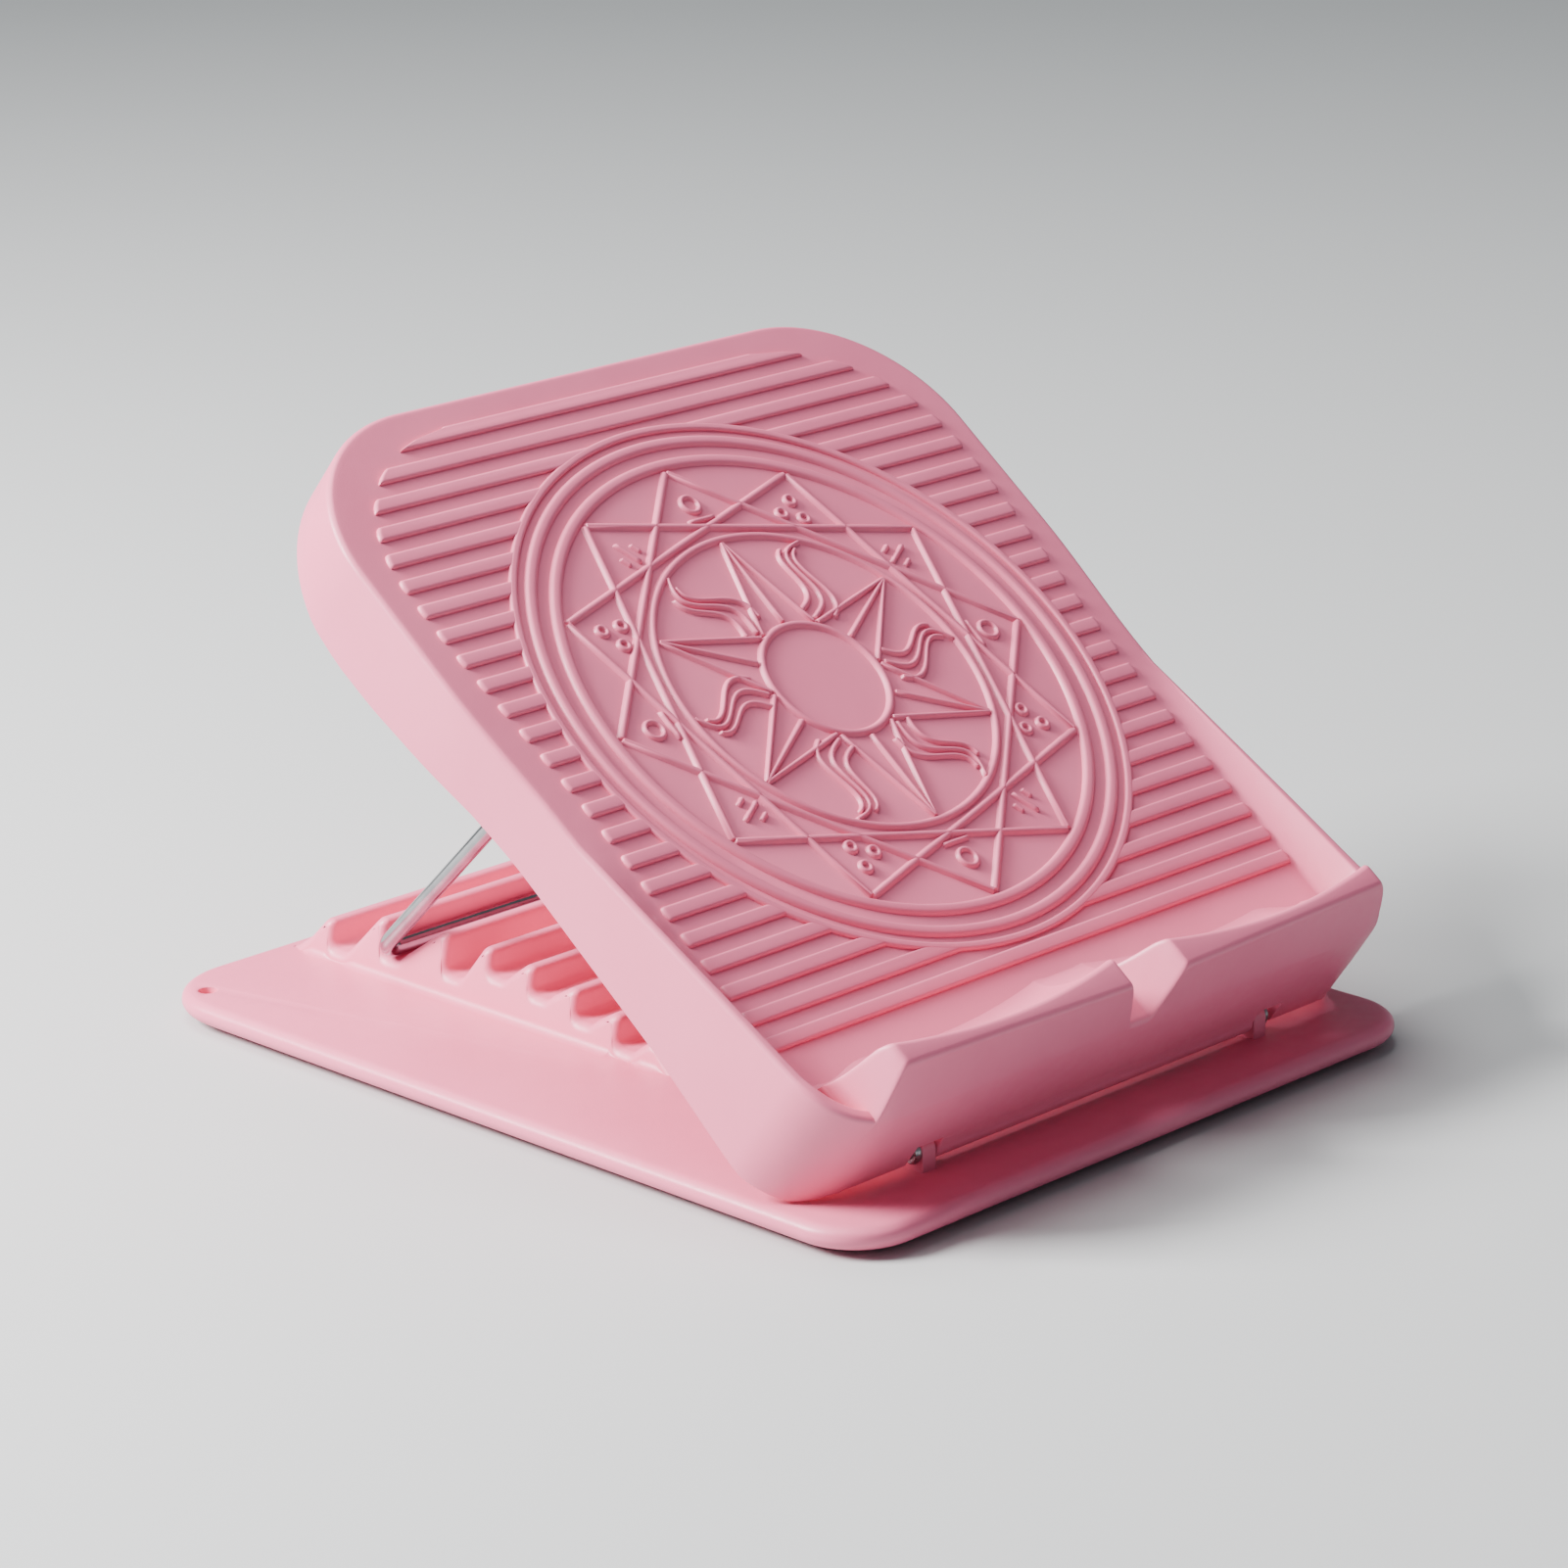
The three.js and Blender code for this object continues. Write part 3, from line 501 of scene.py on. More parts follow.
def in_ear_gap(x, y):
    return (y < 0) & (np.abs(x) > BARREL_HALF) & (np.abs(x) < EAR_GAP_END)


def board_edges(ring):
    """Heights of the lower edge and of the top edge at each point of the outline."""
    lower = softened(LOWER_EDGE, 3)
    rim = softened(RIM_EDGE, 7)
    low = np.array([lower(y) if y > -2.5 else LOWER_EDGE[0][1] for y in ring[:, 1]])
    low = np.where(in_ear_gap(ring[:, 0], ring[:, 1]), EAR_GAP_TOP, low)
    return low, np.maximum([rim(y) for y in ring[:, 1]], FIELD)


def wall_rows(ring, low, top, radius, lean):
    """The outside, from the lower edge up and over the rounded top edge."""
    rows = []
    foot = wall_out(low)
    bend = LOWER_EDGE_R
    for turn in np.radians(np.linspace(-90, 0, 5)):
        edge = foot - bend + bend * math.cos(turn)
        rows.append(offset_ring(ring, edge, low + bend + bend * math.sin(turn)))
    for t in (0.33, 0.66):
        z = low + bend + t * (FIELD - EDGE_R - low - bend)
        rows.append(offset_ring(ring, wall_out(z), z))
    for t in (0, 0.5):
        z = (FIELD - EDGE_R) + t * (top - radius - FIELD + EDGE_R)
        rows.append(offset_ring(ring, -lean * t, z))
    for turn in np.radians(np.linspace(0, 90, 9)):
        rows.append(offset_ring(ring, -lean - radius + radius * math.cos(turn),
                                top - radius + radius * math.sin(turn)))
    return rows


def rim_inside_rows(ring, top, crest, share):
    """From the rim's level top down to the deck."""
    rows = []
    bend = RIM_CREST_R * share
    last_turn = math.radians(60)
    for turn in np.linspace(0, last_turn, 5):
        rows.append(offset_ring(ring, crest - bend * math.sin(turn), top - bend * (1 - math.cos(turn))))
    edge = crest - bend * math.sin(last_turn)
    height = top - bend * (1 - math.cos(last_turn)) - FIELD
    for t in np.linspace(0.1, 1, 10):
        rows.append(offset_ring(ring, edge + (RIM_FOOT - edge) * t, FIELD + height * (1 - t) ** 1.6))
    return rows


def underside_rows(ring, low):
    """From the lower edge up the inside of the wall to the ceiling."""
    rows = []
    bend = LOWER_EDGE_R
    for turn in np.radians(np.linspace(-90, -180, 5)):
        edge = wall_out(low) - WALL + bend + bend * math.cos(turn)
        rows.append(offset_ring(ring, edge, low + bend + bend * math.sin(turn)))
    for turn in np.radians(np.linspace(0, 90, 5)):
        edge = -WALL - CEILING_FILLET * (1 - math.cos(turn))
        rows.append(offset_ring(ring, edge, FIELD - WALL - CEILING_FILLET * (1 - math.sin(turn))))
    return rows


def board_shell(pink):
    ring = board_outline()
    low, top = board_edges(ring)
    share = np.clip((top - FIELD) / (RIM_TOP - FIELD), 0, 1)
    radius = EDGE_R + (RIM_EDGE_R - EDGE_R) * np.clip(2.5 * share, 0, 1)
    lean = RIM_LEAN * share
    rows = wall_rows(ring, low, top, radius, lean)
    rows += rim_inside_rows(ring, top, -lean - radius - RIM_CREST * share, share)
    under = underside_rows(ring, low)
    shape = Shape()
    shape.grid(rows, around=True)
    shape.cap(rows[-1])
    shape.grid(under, around=True, flip=True)
    shape.cap(under[-1], flip=True)
    shape.grid([rows[0], under[0]], around=True, flip=True)
    shape.piece("board_shell", BOARD_FRAME, "board", pink, ["top_plate"], outwards=False)


def board_underside(pink):
    """Stiffening ribs and screw bosses."""
    shape = Shape()
    ceiling = FIELD - WALL + 0.2
    foot = FIELD - WALL - STIFFENER_DEPTH
    for y, half in BOARD_CROSS_RIBS:
        shape.box(-half, half, y - THIN, y + THIN, foot, ceiling)
    for x in BOARD_LONG_RIBS:
        shape.box(x - THIN, x + THIN, 26, 308, foot, ceiling)
    for x in (-CLAMP_X, CLAMP_X):
        for dy in (-SCREW_Y, SCREW_Y):
            centre = (x, PIVOT_Y + dy, 0)
            boss = [(4.5, ceiling), (4.5, 10.2), (4.2, 9.9), (2.4, 9.9), (2.1, 10.2), (2.1, ceiling)]
            shape.turned(boss, centre)
    shape.piece("board_underside", BOARD_FRAME, "board", pink, ["top_plate"])


def hinge_barrel(pink):
    """The rolled lower edge of the front wall, round the rod."""
    front = BOARD_PLAN["front"] - PROUD
    section = [(front, 12), (front, 8.5), (front - 0.25, 6.4), (front - 0.75, 4.4)]
    section += arc((0, 0), BARREL_R, 142, 360, 30)
    section += [(4.5, 3), (4.1, 7), (4, 12)]
    shape = Shape()
    rings = []
    inner = BARREL_HALF - 0.5
    for x, size in ((-BARREL_HALF, 0.9), (-inner, 1), (inner, 1), (BARREL_HALF, 0.9)):
        rings.append([(x, y * size, z * size) for y, z in section])
    shape.grid(rings, around=True)
    shape.cap(rings[0])
    shape.cap(rings[-1], flip=True)
    shape.piece("hinge_barrel", BOARD_FRAME, "board", pink, ["top_plate"])


# ---- Foot board: heel stop ---------------------------------


def lip_height(x):
    """Top of the heel stop at x: level, with the notch in the middle and sloping ends."""
    x = abs(x)
    up_the_notch = (x - NOTCH_HALF_BOTTOM) / (NOTCH_HALF_TOP - NOTCH_HALF_BOTTOM)
    notch = NOTCH_FLOOR + (LIP_TOP - NOTCH_FLOOR) * max(up_the_notch, 0)
    end = LIP_TOP - (LIP_TOP - RIM_TOP) * (x - LIP_HALF) / LIP_FLARE
    return min(LIP_TOP, notch, end)


def lip_heights(xs):
    """That top at each x, with the corners rounded along X, more at the ends than in the notch."""
    fine = np.arange(-LIP_HALF - 20, LIP_HALF + 20, 0.1)
    raw = np.array([lip_height(x) for x in fine])

    def rounded(reach):
        kernel = np.hanning(int(reach / 0.1) | 1)
        return np.interp(xs, fine, np.convolve(raw, kernel / kernel.sum(), mode="same"))

    return np.where(np.abs(xs) < LIP_HALF / 2, rounded(4.2), rounded(9))


def heel_cup(x):
    """The share of the way to the end, and the share of the heel cup's full depth, at x."""
    along = np.clip(abs(x) / LIP_HALF, 0, 1)
    return along, math.sin(math.pi * np.clip((along - 0.1) / 0.9, 0, 1)) ** 0.8


def lip_faces(x):
    """(z, y) points of the heel stop's front face and of its inner face at x."""
    along, cup = heel_cup(x)
    outer = LIP_LEAN[0] + (LIP_LEAN[1] - LIP_LEAN[0]) * along
    inner = LIP_DEPTH - HEEL_CUP * cup
    corner_x = BOARD_PLAN["half_front"] - BOARD_PLAN["corner_front"]
    radius = BOARD_PLAN["corner_front"]
    front = BOARD_PLAN["front"]
    if abs(x) > corner_x:
        front += radius - math.sqrt(radius ** 2 - (abs(x) - corner_x) ** 2)
    proud = front - PROUD
    reach = 1 - 0.42 * smoothstep(along, 0.8, 1)
    front_knots = [(8, proud), (FIELD - EDGE_R, proud), (RIM_TOP - 2, proud + RIM_LEAN),
                   (RIM_TOP, front + RIM_LEAN + 0.1), (LIP_TOP, max(outer, front + 2))]
    inside = [(-1, 20), (0.6, 16.2), (5.5, 11), (17, 5), (LIP_TOP - FIELD, 0)]
    inner_knots = [(FIELD + up, inner + back * reach) for up, back in inside]
    return front_knots, curve_through(inner_knots, 6)


def lip_section(x, top):
    """The section's outline at x from the front foot over the top to the deck."""
    front_knots, inner_knots = lip_faces(x)
    front_z, front_y = np.array(front_knots).T
    inner_z, inner_y = inner_knots.T
    across = np.interp(top, inner_z, inner_y) - np.interp(top, front_z, front_y)
    radius = float(np.clip(across / 2 - 0.1, *LIP_EDGE_R))
    points = []
    for z in [8, 15, 20, 25, 30, 32.5, 34, 38, 44, 50, 60]:
        z = min(z, top - radius)
        points.append((np.interp(z, front_z, front_y), z))
    edge = np.interp(top - radius, front_z, front_y)
    points += arc((edge + radius, top - radius), radius, 180, 90, 6)[1:]
    back = np.interp(top - radius, inner_z, inner_y)
    points += arc((max(back - radius, edge + radius), top - radius), radius, 90, 0, 6)
    for t in np.linspace(0.06, 1, 16):
        z = (top - radius) + (FIELD - 1 - top + radius) * t
        points.append((np.interp(z, inner_z, inner_y), z))
    return points


def heel_stop(pink):
    fine_notch = np.arange(3, 17, 0.45)
    fine_end = np.arange(LIP_HALF - 4, LIP_HALF + 5.9, 0.45)
    plain = np.arange(17.5, LIP_HALF - 4, 2.6)
    right = np.concatenate([[0, 1.5], fine_notch, plain, fine_end])
    xs = np.concatenate([-right[:0:-1], right])
    tops = lip_heights(xs)
    shape = Shape()
    rows = [[(x, y, z) for y, z in lip_section(x, top)] for x, top in zip(xs, tops)]
    shape.grid(rows)
    shape.cap(rows[0])
    shape.cap(rows[-1], flip=True)
    shape.piece("heel_stop", BOARD_FRAME, "board", pink, ["top_plate"], sharp=50)


# ---- Foot board: ribs and medallion ------------------------


def rib_half(y):
    """Half length of a rib at y, following the board's outline."""
    taper = RIB_TAPER * (1 - smoothstep(y, *RIB_TAPER_SPAN))
    if y <= RIB_CORNER["y"]:
        return RIB_CORNER["x"] + RIB_CORNER["radius"] - taper
    return RIB_CORNER["x"] + math.sqrt(max(RIB_CORNER["radius"] ** 2 - (y - RIB_CORNER["y"]) ** 2, 0))


# Rounded section of a rib from its front foot to its rear foot: (share of width, share of height).
RIB_SECTION = [(-1, -0.2), (-0.985, 0.25), (-0.93, 0.66), (-0.8, 0.93), (-0.6, 1), (0, 1), (0.6, 1),
               (0.8, 0.93), (0.93, 0.66), (0.985, 0.25), (1, -0.2)]
RIB_END = [(0, -0.2), (0.12, 0.3), (0.45, 0.72), (1.1, 0.95), (2.0, 1)]


def add_rib(shape, front, outer_sign, meets_band):
    """One rib, or the half of it on one side of the medallion."""
    middle = front + RIB_WIDTH / 2
    band = sum(BAND) / 2
    rows = []
    for across, rise in RIB_SECTION:
        y = middle + across * RIB_WIDTH / 2
        pull = 1.1 * (1 - math.sqrt(1 - min(abs(across), 0.999) ** 2))
        half = rib_half(y) - pull
        inner = math.sqrt(band ** 2 - (y - MEDALLION_Y) ** 2) if meets_band else None
        row = [(half - d, rise if e == 1 else min(rise, e * 1.02)) for d, e in RIB_END]
        if meets_band:
            row.append((inner, 0.97 * rise))
        else:
            row += [(-x, r) for x, r in row[::-1]]
        rows.append([(outer_sign * x, y, FIELD + RELIEF * r) for x, r in row])
    shape.grid(rows, flip=outer_sign > 0)


def ribs(shape):
    for k in range(RIB_COUNT):
        front = RIB_FIRST - k * RIB_PITCH
        middle = front + RIB_WIDTH / 2
        if abs(middle - MEDALLION_Y) > BAND[1]:
            add_rib(shape, front, 1, False)
        else:
            add_rib(shape, front, 1, True)
            add_rib(shape, front, -1, True)


# Sections of raised lines: (share of half width, share of height).
RIDGE_SECTION = [(-1, -0.06), (-0.84, 0.14), (-0.66, 0.5), (-0.46, 0.86), (-0.2, 1), (0.2, 1), (0.46, 0.86),
                 (0.66, 0.5), (0.84, 0.14), (1, -0.06)]
BAND_SECTION = [(-1, -0.06), (-0.97, 0.35), (-0.85, 0.75), (-0.6, 0.97), (-0.3, 1), (0.3, 1), (0.6, 0.97),
                (0.85, 0.75), (0.97, 0.35), (1, -0.06)]
RING_SECTION = [(-1, -0.06), (-0.93, 0.22), (-0.8, 0.6), (-0.6, 0.9), (-0.3, 1), (0.3, 1), (0.6, 0.9),
                (0.8, 0.6), (0.93, 0.22), (1, -0.06)]


def ridge(shape, path, width=RIDGE, height=RIDGE_HEIGHT, closed=False, taper=0.0, section=RIDGE_SECTION):
    """A raised line along a path of (x, y) points measured from the medallion's centre."""
    path = np.asarray(path, dtype=float)
    if closed:
        before, after = np.roll(path, 1, axis=0), np.roll(path, -1, axis=0)
    else:
        before = np.vstack([path[:1], path[:-1]])
        after = np.vstack([path[1:], path[-1:]])
    along = after - before
    along /= np.linalg.norm(along, axis=1)[:, None]
    side = np.column_stack([along[:, 1], -along[:, 0]])
    rows = []
    count = len(path)
    for i in range(count):
        share = i / (count - 1)
        half = width / 2 * (1 - taper * share)
        rise = height
        if not closed and i in (0, count - 1):
            rise = -0.06
        row = []
        for across, level in section:
            x, y = path[i] + side[i] * across * half
            row.append((x, MEDALLION_Y + y, FIELD + (rise * level if rise > 0 else rise)))
        rows.append(row)
    if closed:
        rows.append(rows[0])
    shape.grid(rows, flip=True)


def rounded_ends(path, cap=0.7):
    """The path with an extra point close to each end, where the ridge has its full height."""
    path = np.asarray(path, dtype=float)
    first = path[0] + cap * (path[1] - path[0]) / np.linalg.norm(path[1] - path[0])
    last = path[-1] + cap * (path[-2] - path[-1]) / np.linalg.norm(path[-2] - path[-1])
    return np.vstack([path[:1], first, path[1:-1], last, path[-1:]])


def circle(radius, steps, centre=(0, 0)):
    angles = np.linspace(0, 2 * math.pi, steps, endpoint=False)
    return np.column_stack([centre[0] + radius * np.cos(angles), centre[1] + radius * np.sin(angles)])


def polar(radius, degrees):
    angle = math.radians(degrees)
    return np.array([radius * math.cos(angle), radius * math.sin(angle)])


def rings(shape):
    ridge(shape, circle(sum(BAND) / 2, 240), BAND[1] - BAND[0], RELIEF, closed=True, section=BAND_SECTION)
    for radius in RING_RADII:
        ridge(shape, circle(radius, 240), RING_WIDTH, RING_HEIGHT, closed=True, section=RING_SECTION)
    ridge(shape, circle(INNER_RING_R, 180), SUN_RING_WIDTH, closed=True)
    ridge(shape, circle(SUN_R, 96), SUN_RING_WIDTH, closed=True)


def star(shape):
    """Three squares turned through thirty degrees."""
    for turn in (0, 30, 60):
        for corner in range(4):
            start = polar(STAR_R, turn + 90 * corner)
            end = polar(STAR_R, turn + 90 * (corner + 1))
            steps = np.linspace(0, 1, 9)[:, None]
            ridge(shape, rounded_ends(start + (end - start) * steps))


def straight_ray(shape, degrees):
    """Two edges and a ridge between them, from the sun's ring to one tip."""
    tip = polar(RAY_TIP, degrees)
    for side in (-29, 0, 29):
        base = polar(RAY_FOOT, degrees + side)
        steps = np.linspace(0, 1, 8)[:, None]
        ridge(shape, rounded_ends(base + (tip - base) * steps), RAY_RIDGE, taper=0.3)


def wavy_ray(shape, degrees):
    """Three strands that wave together and meet in a tip."""
    along = polar(1, degrees)
    across = polar(1, degrees + 90)
    for spread, start, end in WAVE_STRANDS:
        path = []
        for t in np.linspace(0, 1, 24):
            r = start + (end - start) * t
            whole = (r - WAVE_FOOT) / WAVE_LENGTH
            wave = -WAVE_HEIGHT * math.sin(2 * math.pi * min(whole, 1)) * (0.6 + 0.6 * whole)
            path.append(STAR_R * (along * r + across * (wave + spread * (1 - 0.75 * whole))))
        ridge(shape, rounded_ends(path), WAVE_RIDGE, taper=0.25)


def ornament(shape, degrees):
    """A small plain figure in a star point, from rings and short bars."""
    centre = polar(0.82 * STAR_R, degrees)
    outwards = polar(1, degrees)
    sideways = polar(1, degrees + 90)
    kind = int(round(degrees / 30)) % 3
    size = (ORNAMENT_RIDGE, ORNAMENT_HEIGHT)

    def place(s, t):
        return centre + sideways * s + outwards * t

    if kind == 0:
        ridge(shape, circle(3.6, 28, place(0, 2.2)), *size, closed=True)
        ridge(shape, rounded_ends([place(s, -5) for s in np.linspace(-6.4, 6.4, 6)]), *size)
    elif kind == 1:
        for s in (-4.6, 0, 4.6):
            bar = [place(s, t) for t in np.linspace(-5.6 + abs(s) / 2, 6 - abs(s), 6)]
            ridge(shape, rounded_ends(bar), *size)
    else:
        for s, t in ((0, 4.6), (-4.4, -3), (4.4, -3)):
            ridge(shape, circle(2.0, 20, place(s, t)), *size, closed=True)


def deck_relief(pink):
    shape = Shape()
    ribs(shape)
    rings(shape)
    star(shape)
    for k in range(6):
        straight_ray(shape, 90 + 60 * k)
        wavy_ray(shape, 60 * k)
    for k in range(12):
        ornament(shape, 30 * k)
    shape.piece("deck_relief", BOARD_FRAME, "board", pink, ["top_plate"], sharp=60)


# ---- Base plate --------------------------------------------


def arch_top(y):
    """Height of the arched line that the tooth tops lie on."""
    return BASE_TOP + RACK_PEAK - RACK_ARCH * (y - RACK_PEAK_Y) ** 2


def rack_knots():
    """Corners of the tooth profile, front to rear, before they are rounded."""
    knots = [(112, BASE_TOP - 4), (127, arch_top(127)), (131, arch_top(131))]
    for y, depth in NOTCHES[::-1]:
        floor = arch_top(y) - depth
        crest = arch_top(y + 9) - (REAR_TOOTH_DROP if y == NOTCHES[0][0] else 0)
        knots += [(y + along, floor + up) for along, up in NOTCH_SHAPE]
        knots += [(y + along, crest) for along in TOOTH_TOP]
    return knots + [(308, BASE_TOP + 5.5), (315.5, BASE_TOP), (330, BASE_TOP - 4)]


def swollen(heights, radius, sign):
    """The profile grown (sign 1) or shrunk (sign -1) by a disc of that radius."""
    reach = int(radius / RACK_STEP)
    best = None
    padded = np.pad(heights, reach, mode="edge")
    for shift in range(-reach, reach + 1):
        lift = math.sqrt(max(radius ** 2 - (shift * RACK_STEP) ** 2, 0))
        moved = padded[reach + shift:reach + shift + len(heights)] + sign * lift
        best = moved if best is None else (np.maximum(best, moved) if sign > 0 else np.minimum(best, moved))
    return best


def rack_profile():
    """Rounded tooth profile: y positions and heights over the base."""
    ys = np.arange(RACK_FRONT, RACK_REAR + RACK_STEP / 2, RACK_STEP)
    heights = np.maximum(np.interp(ys, *np.array(rack_knots()).T), BASE_TOP - SUNK)
    heights = swollen(swollen(heights, NOTCH_R, 1), NOTCH_R, -1)
    heights = swollen(swollen(heights, TOOTH_R, -1), TOOTH_R, 1)
    return ys, heights


def rack_breaks():
    """Places that every rounded section shares: the middles of floors and crests."""
    breaks = [RACK_FRONT, 120, 129]
    for y, _ in NOTCHES[::-1]:
        breaks += [y + 0.9, y + 8.5]
    return breaks + [RACK_REAR]


def along_profile(ys, heights, count=15):
    """The profile as evenly spaced points between each two breaks."""
    places = []
    for low, high in zip(rack_breaks(), rack_breaks()[1:]):
        inside = (ys >= low - 1e-6) & (ys <= high + 1e-6)
        y, z = ys[inside], heights[inside]
        length = np.concatenate([[0], np.cumsum(np.hypot(np.diff(y), np.diff(z)))])
        at = np.linspace(0, length[-1], count)
        places.append(np.column_stack([np.interp(at, length, y), np.interp(at, length, z)])[:-1])
    return np.vstack([*places, [[ys[-1], heights[-1]]]])


def rack_side_x(z):
    return RACK_HALF_FOOT + (RACK_HALF_TOP - RACK_HALF_FOOT) * (z - BASE_TOP) / RACK_PEAK


def rack_grid(ys, heights, rounding, side_shift, floor):
    """Rows of points across the rack from its middle to its right foot."""
    middle = along_profile(ys, np.maximum(heights, floor))
    rows = [np.column_stack([np.full(len(middle), x), middle]) for x in (0, 35, 60)]
    for turn in np.radians(np.linspace(0, 90, 9)):
        shrunk = swollen(heights, rounding * (1 - math.cos(turn)), -1) if turn else heights
        line = along_profile(ys, np.maximum(shrunk, floor))
        x = rack_side_x(line[:, 1]) - side_shift - rounding + rounding * math.sin(turn)
        rows.append(np.column_stack([x, line]))
    y, edge = rows[-1][:, 1], rows[-1][:, 2]
    foot = np.minimum(edge, BASE_TOP + RACK_FOOT_FILLET)
    for t in (0.33, 0.66, 1):
        z = edge + (foot - edge) * t
        rows.append(np.column_stack([rack_side_x(z) - side_shift, y, z]))
    if side_shift == 0:
        drop = foot - BASE_TOP
        for turn in np.radians(np.linspace(15, 90, 6)):
            x = rack_side_x(foot) + np.maximum(drop, 0) * (1 - math.cos(turn))
            rows.append(np.column_stack([x, y, foot - drop * math.sin(turn) - 0.02]))
    return rows


def rack(pink):
    ys, heights = rack_profile()
    outside = rack_grid(ys, heights, RACK_SIDE_R, 0, BASE_TOP - 0.6)
    shape = Shape()
    for sign in (1, -1):
        rows = [row * np.array([sign, 1, 1]) for row in outside]
        shape.grid(rows, flip=sign > 0)
    ceiling = BASE_TOP - BASE_WALL + SUNK
    inside = rack_grid(ys, np.maximum(swollen(heights, 2.6, -1), ceiling), 1.5, WALL, ceiling)
    for sign in (1, -1):
        rows = [row * np.array([sign, 1, 1]) for row in inside]
        shape.grid(rows, flip=sign < 0)
    shape.piece("rack", BASE_FRAME, "base", pink, ["base_plate"], sharp=80, outwards=False)


def hole_ring(side, radius, z):
    centre = (side * HANG_HOLE["x"], HANG_HOLE["y"])
    return [(x, y, z) for x, y in circle(radius, 32, centre)]


def rectangle(half, front, rear, z):
    return [(-half, front, z), (half, front, z), (half, rear, z), (-half, rear, z)]


def base_shell(pink):
    ring = whole_outline(half_outline(BASE_PLAN, 22, 6, np.linspace(0, 110, 6), 6))
    shape = Shape()
    rows = [offset_ring(ring, out, z) for out, z in curve_through(BASE_BEAD, 4)]
    shape.grid(rows, around=True)
    r = HANG_HOLE["radius"]
    under_rack = rectangle(RACK_HALF_FOOT - 1, *RACK_OPENING, BASE_TOP)
    shape.fill(rows[-1], [under_rack, *(hole_ring(side, r + 0.6, BASE_TOP) for side in (-1, 1))])
    low = FOOT_PROUD
    ceiling = BASE_TOP - BASE_WALL
    pocket = [rows[0], offset_ring(ring, -POCKET_INSET, low), offset_ring(ring, -POCKET_INSET, ceiling)]
    shape.grid(pocket, around=True, flip=True)
    shape.fill(pocket[-1], [rectangle(RACK_HALF_FOOT - WALL, *RACK_HOLLOW, ceiling)], flip=True)
    for side in (-1, 1):
        rings_down = [hole_ring(side, r + 0.6, BASE_TOP), hole_ring(side, r + 0.15, BASE_TOP - 0.2),
                      hole_ring(side, r, BASE_TOP - 0.7), hole_ring(side, r, low + 0.4),
                      hole_ring(side, r + 0.4, low), hole_ring(side, r + 2.1, low),
                      hole_ring(side, r + 2.5, low + 0.4), hole_ring(side, r + 2.5, ceiling)]
        shape.grid(rings_down, around=True)
    shape.piece("base_shell", BASE_FRAME, "base", pink, ["base_plate"], outwards=False)


def base_underside(pink):
    """Stiffening ribs and the sockets that hold the feet."""
    shape = Shape()
    low, ceiling = FOOT_PROUD + 1, BASE_TOP - BASE_WALL + 0.3
    for y in BASE_RIBS:
        shape.box(-BASE_RIB_END, BASE_RIB_END, y - THIN, y + THIN, low, ceiling)
    for side in (-1, 1):
        x = side * BASE_LONG_RIB
        shape.box(x - THIN, x + THIN, -23, 317, low, ceiling)
        for y in BASE_RIBS_BESIDE_RACK:
            x0, x1 = sorted((side * (RACK_HALF_FOOT - 2), side * BASE_RIB_END))
            shape.box(x0, x1, y - THIN, y + THIN, low, ceiling)
        for y in FOOT_SPOTS:
            shape.turned([(0.01, low), (FOOT_R + 1.6, low), (FOOT_R + 2, low + 0.4), (FOOT_R + 2, ceiling)],
                         (side * FOOT_X, y, 0))
    shape.piece("base_underside", BASE_FRAME, "base", pink, ["base_plate"])


def hinge_ears(pink):
    shape = Shape()
    radius = BARREL_R - 0.2
    root = BASE_TOP - 0.5
    outline = [(-radius, root), (15, root), (12.5, BASE_TOP + 0.6), (10, BASE_TOP + 2.4)]
    outline += arc((0, HINGE_Z), radius, 35, 180, 22)
    inset = [(y * 0.965 + 0.12, root + (z - root) * 0.965) for y, z in outline]
    for side in (-1, 1):
        near, far = sorted((side * (EAR_OUTSIDE - EAR_THICK), side * EAR_OUTSIDE))
        rows = [[(near, y, z) for y, z in inset], [(near + 0.4, y, z) for y, z in outline],
                [(far - 0.4, y, z) for y, z in outline], [(far, y, z) for y, z in inset]]
        shape.grid(rows, around=True, flip=True)
        shape.cap(rows[0], flip=True)
        shape.cap(rows[-1])
    shape.piece("hinge_ears", BASE_FRAME, "base", pink, ["base_plate"])


def feet(rubber):
    top = FOOT_PROUD + 0.7
    profile = [(0.01, 0), (5.5, 0), (5.8, 0.5), (6.3, 0.5), (6.6, 0), (8.3, 0), (8.75, 0.2), (FOOT_R, 0.8),
               (FOOT_R, top - 0.2), (8.8, top), (0.01, top)]
    for side, word in ((-1, "left"), (1, "right")):
        for row, y in enumerate(FOOT_SPOTS, 1):
            shape = Shape()
            shape.turned(profile[::-1], (side * FOOT_X, y, 0))
            node = f"foot_{word}_{row}"
            shape.piece(f"pad_{word}_{row}", BASE_FRAME, "base", rubber, [node])


# ---- Steel pieces ------------------------------------------


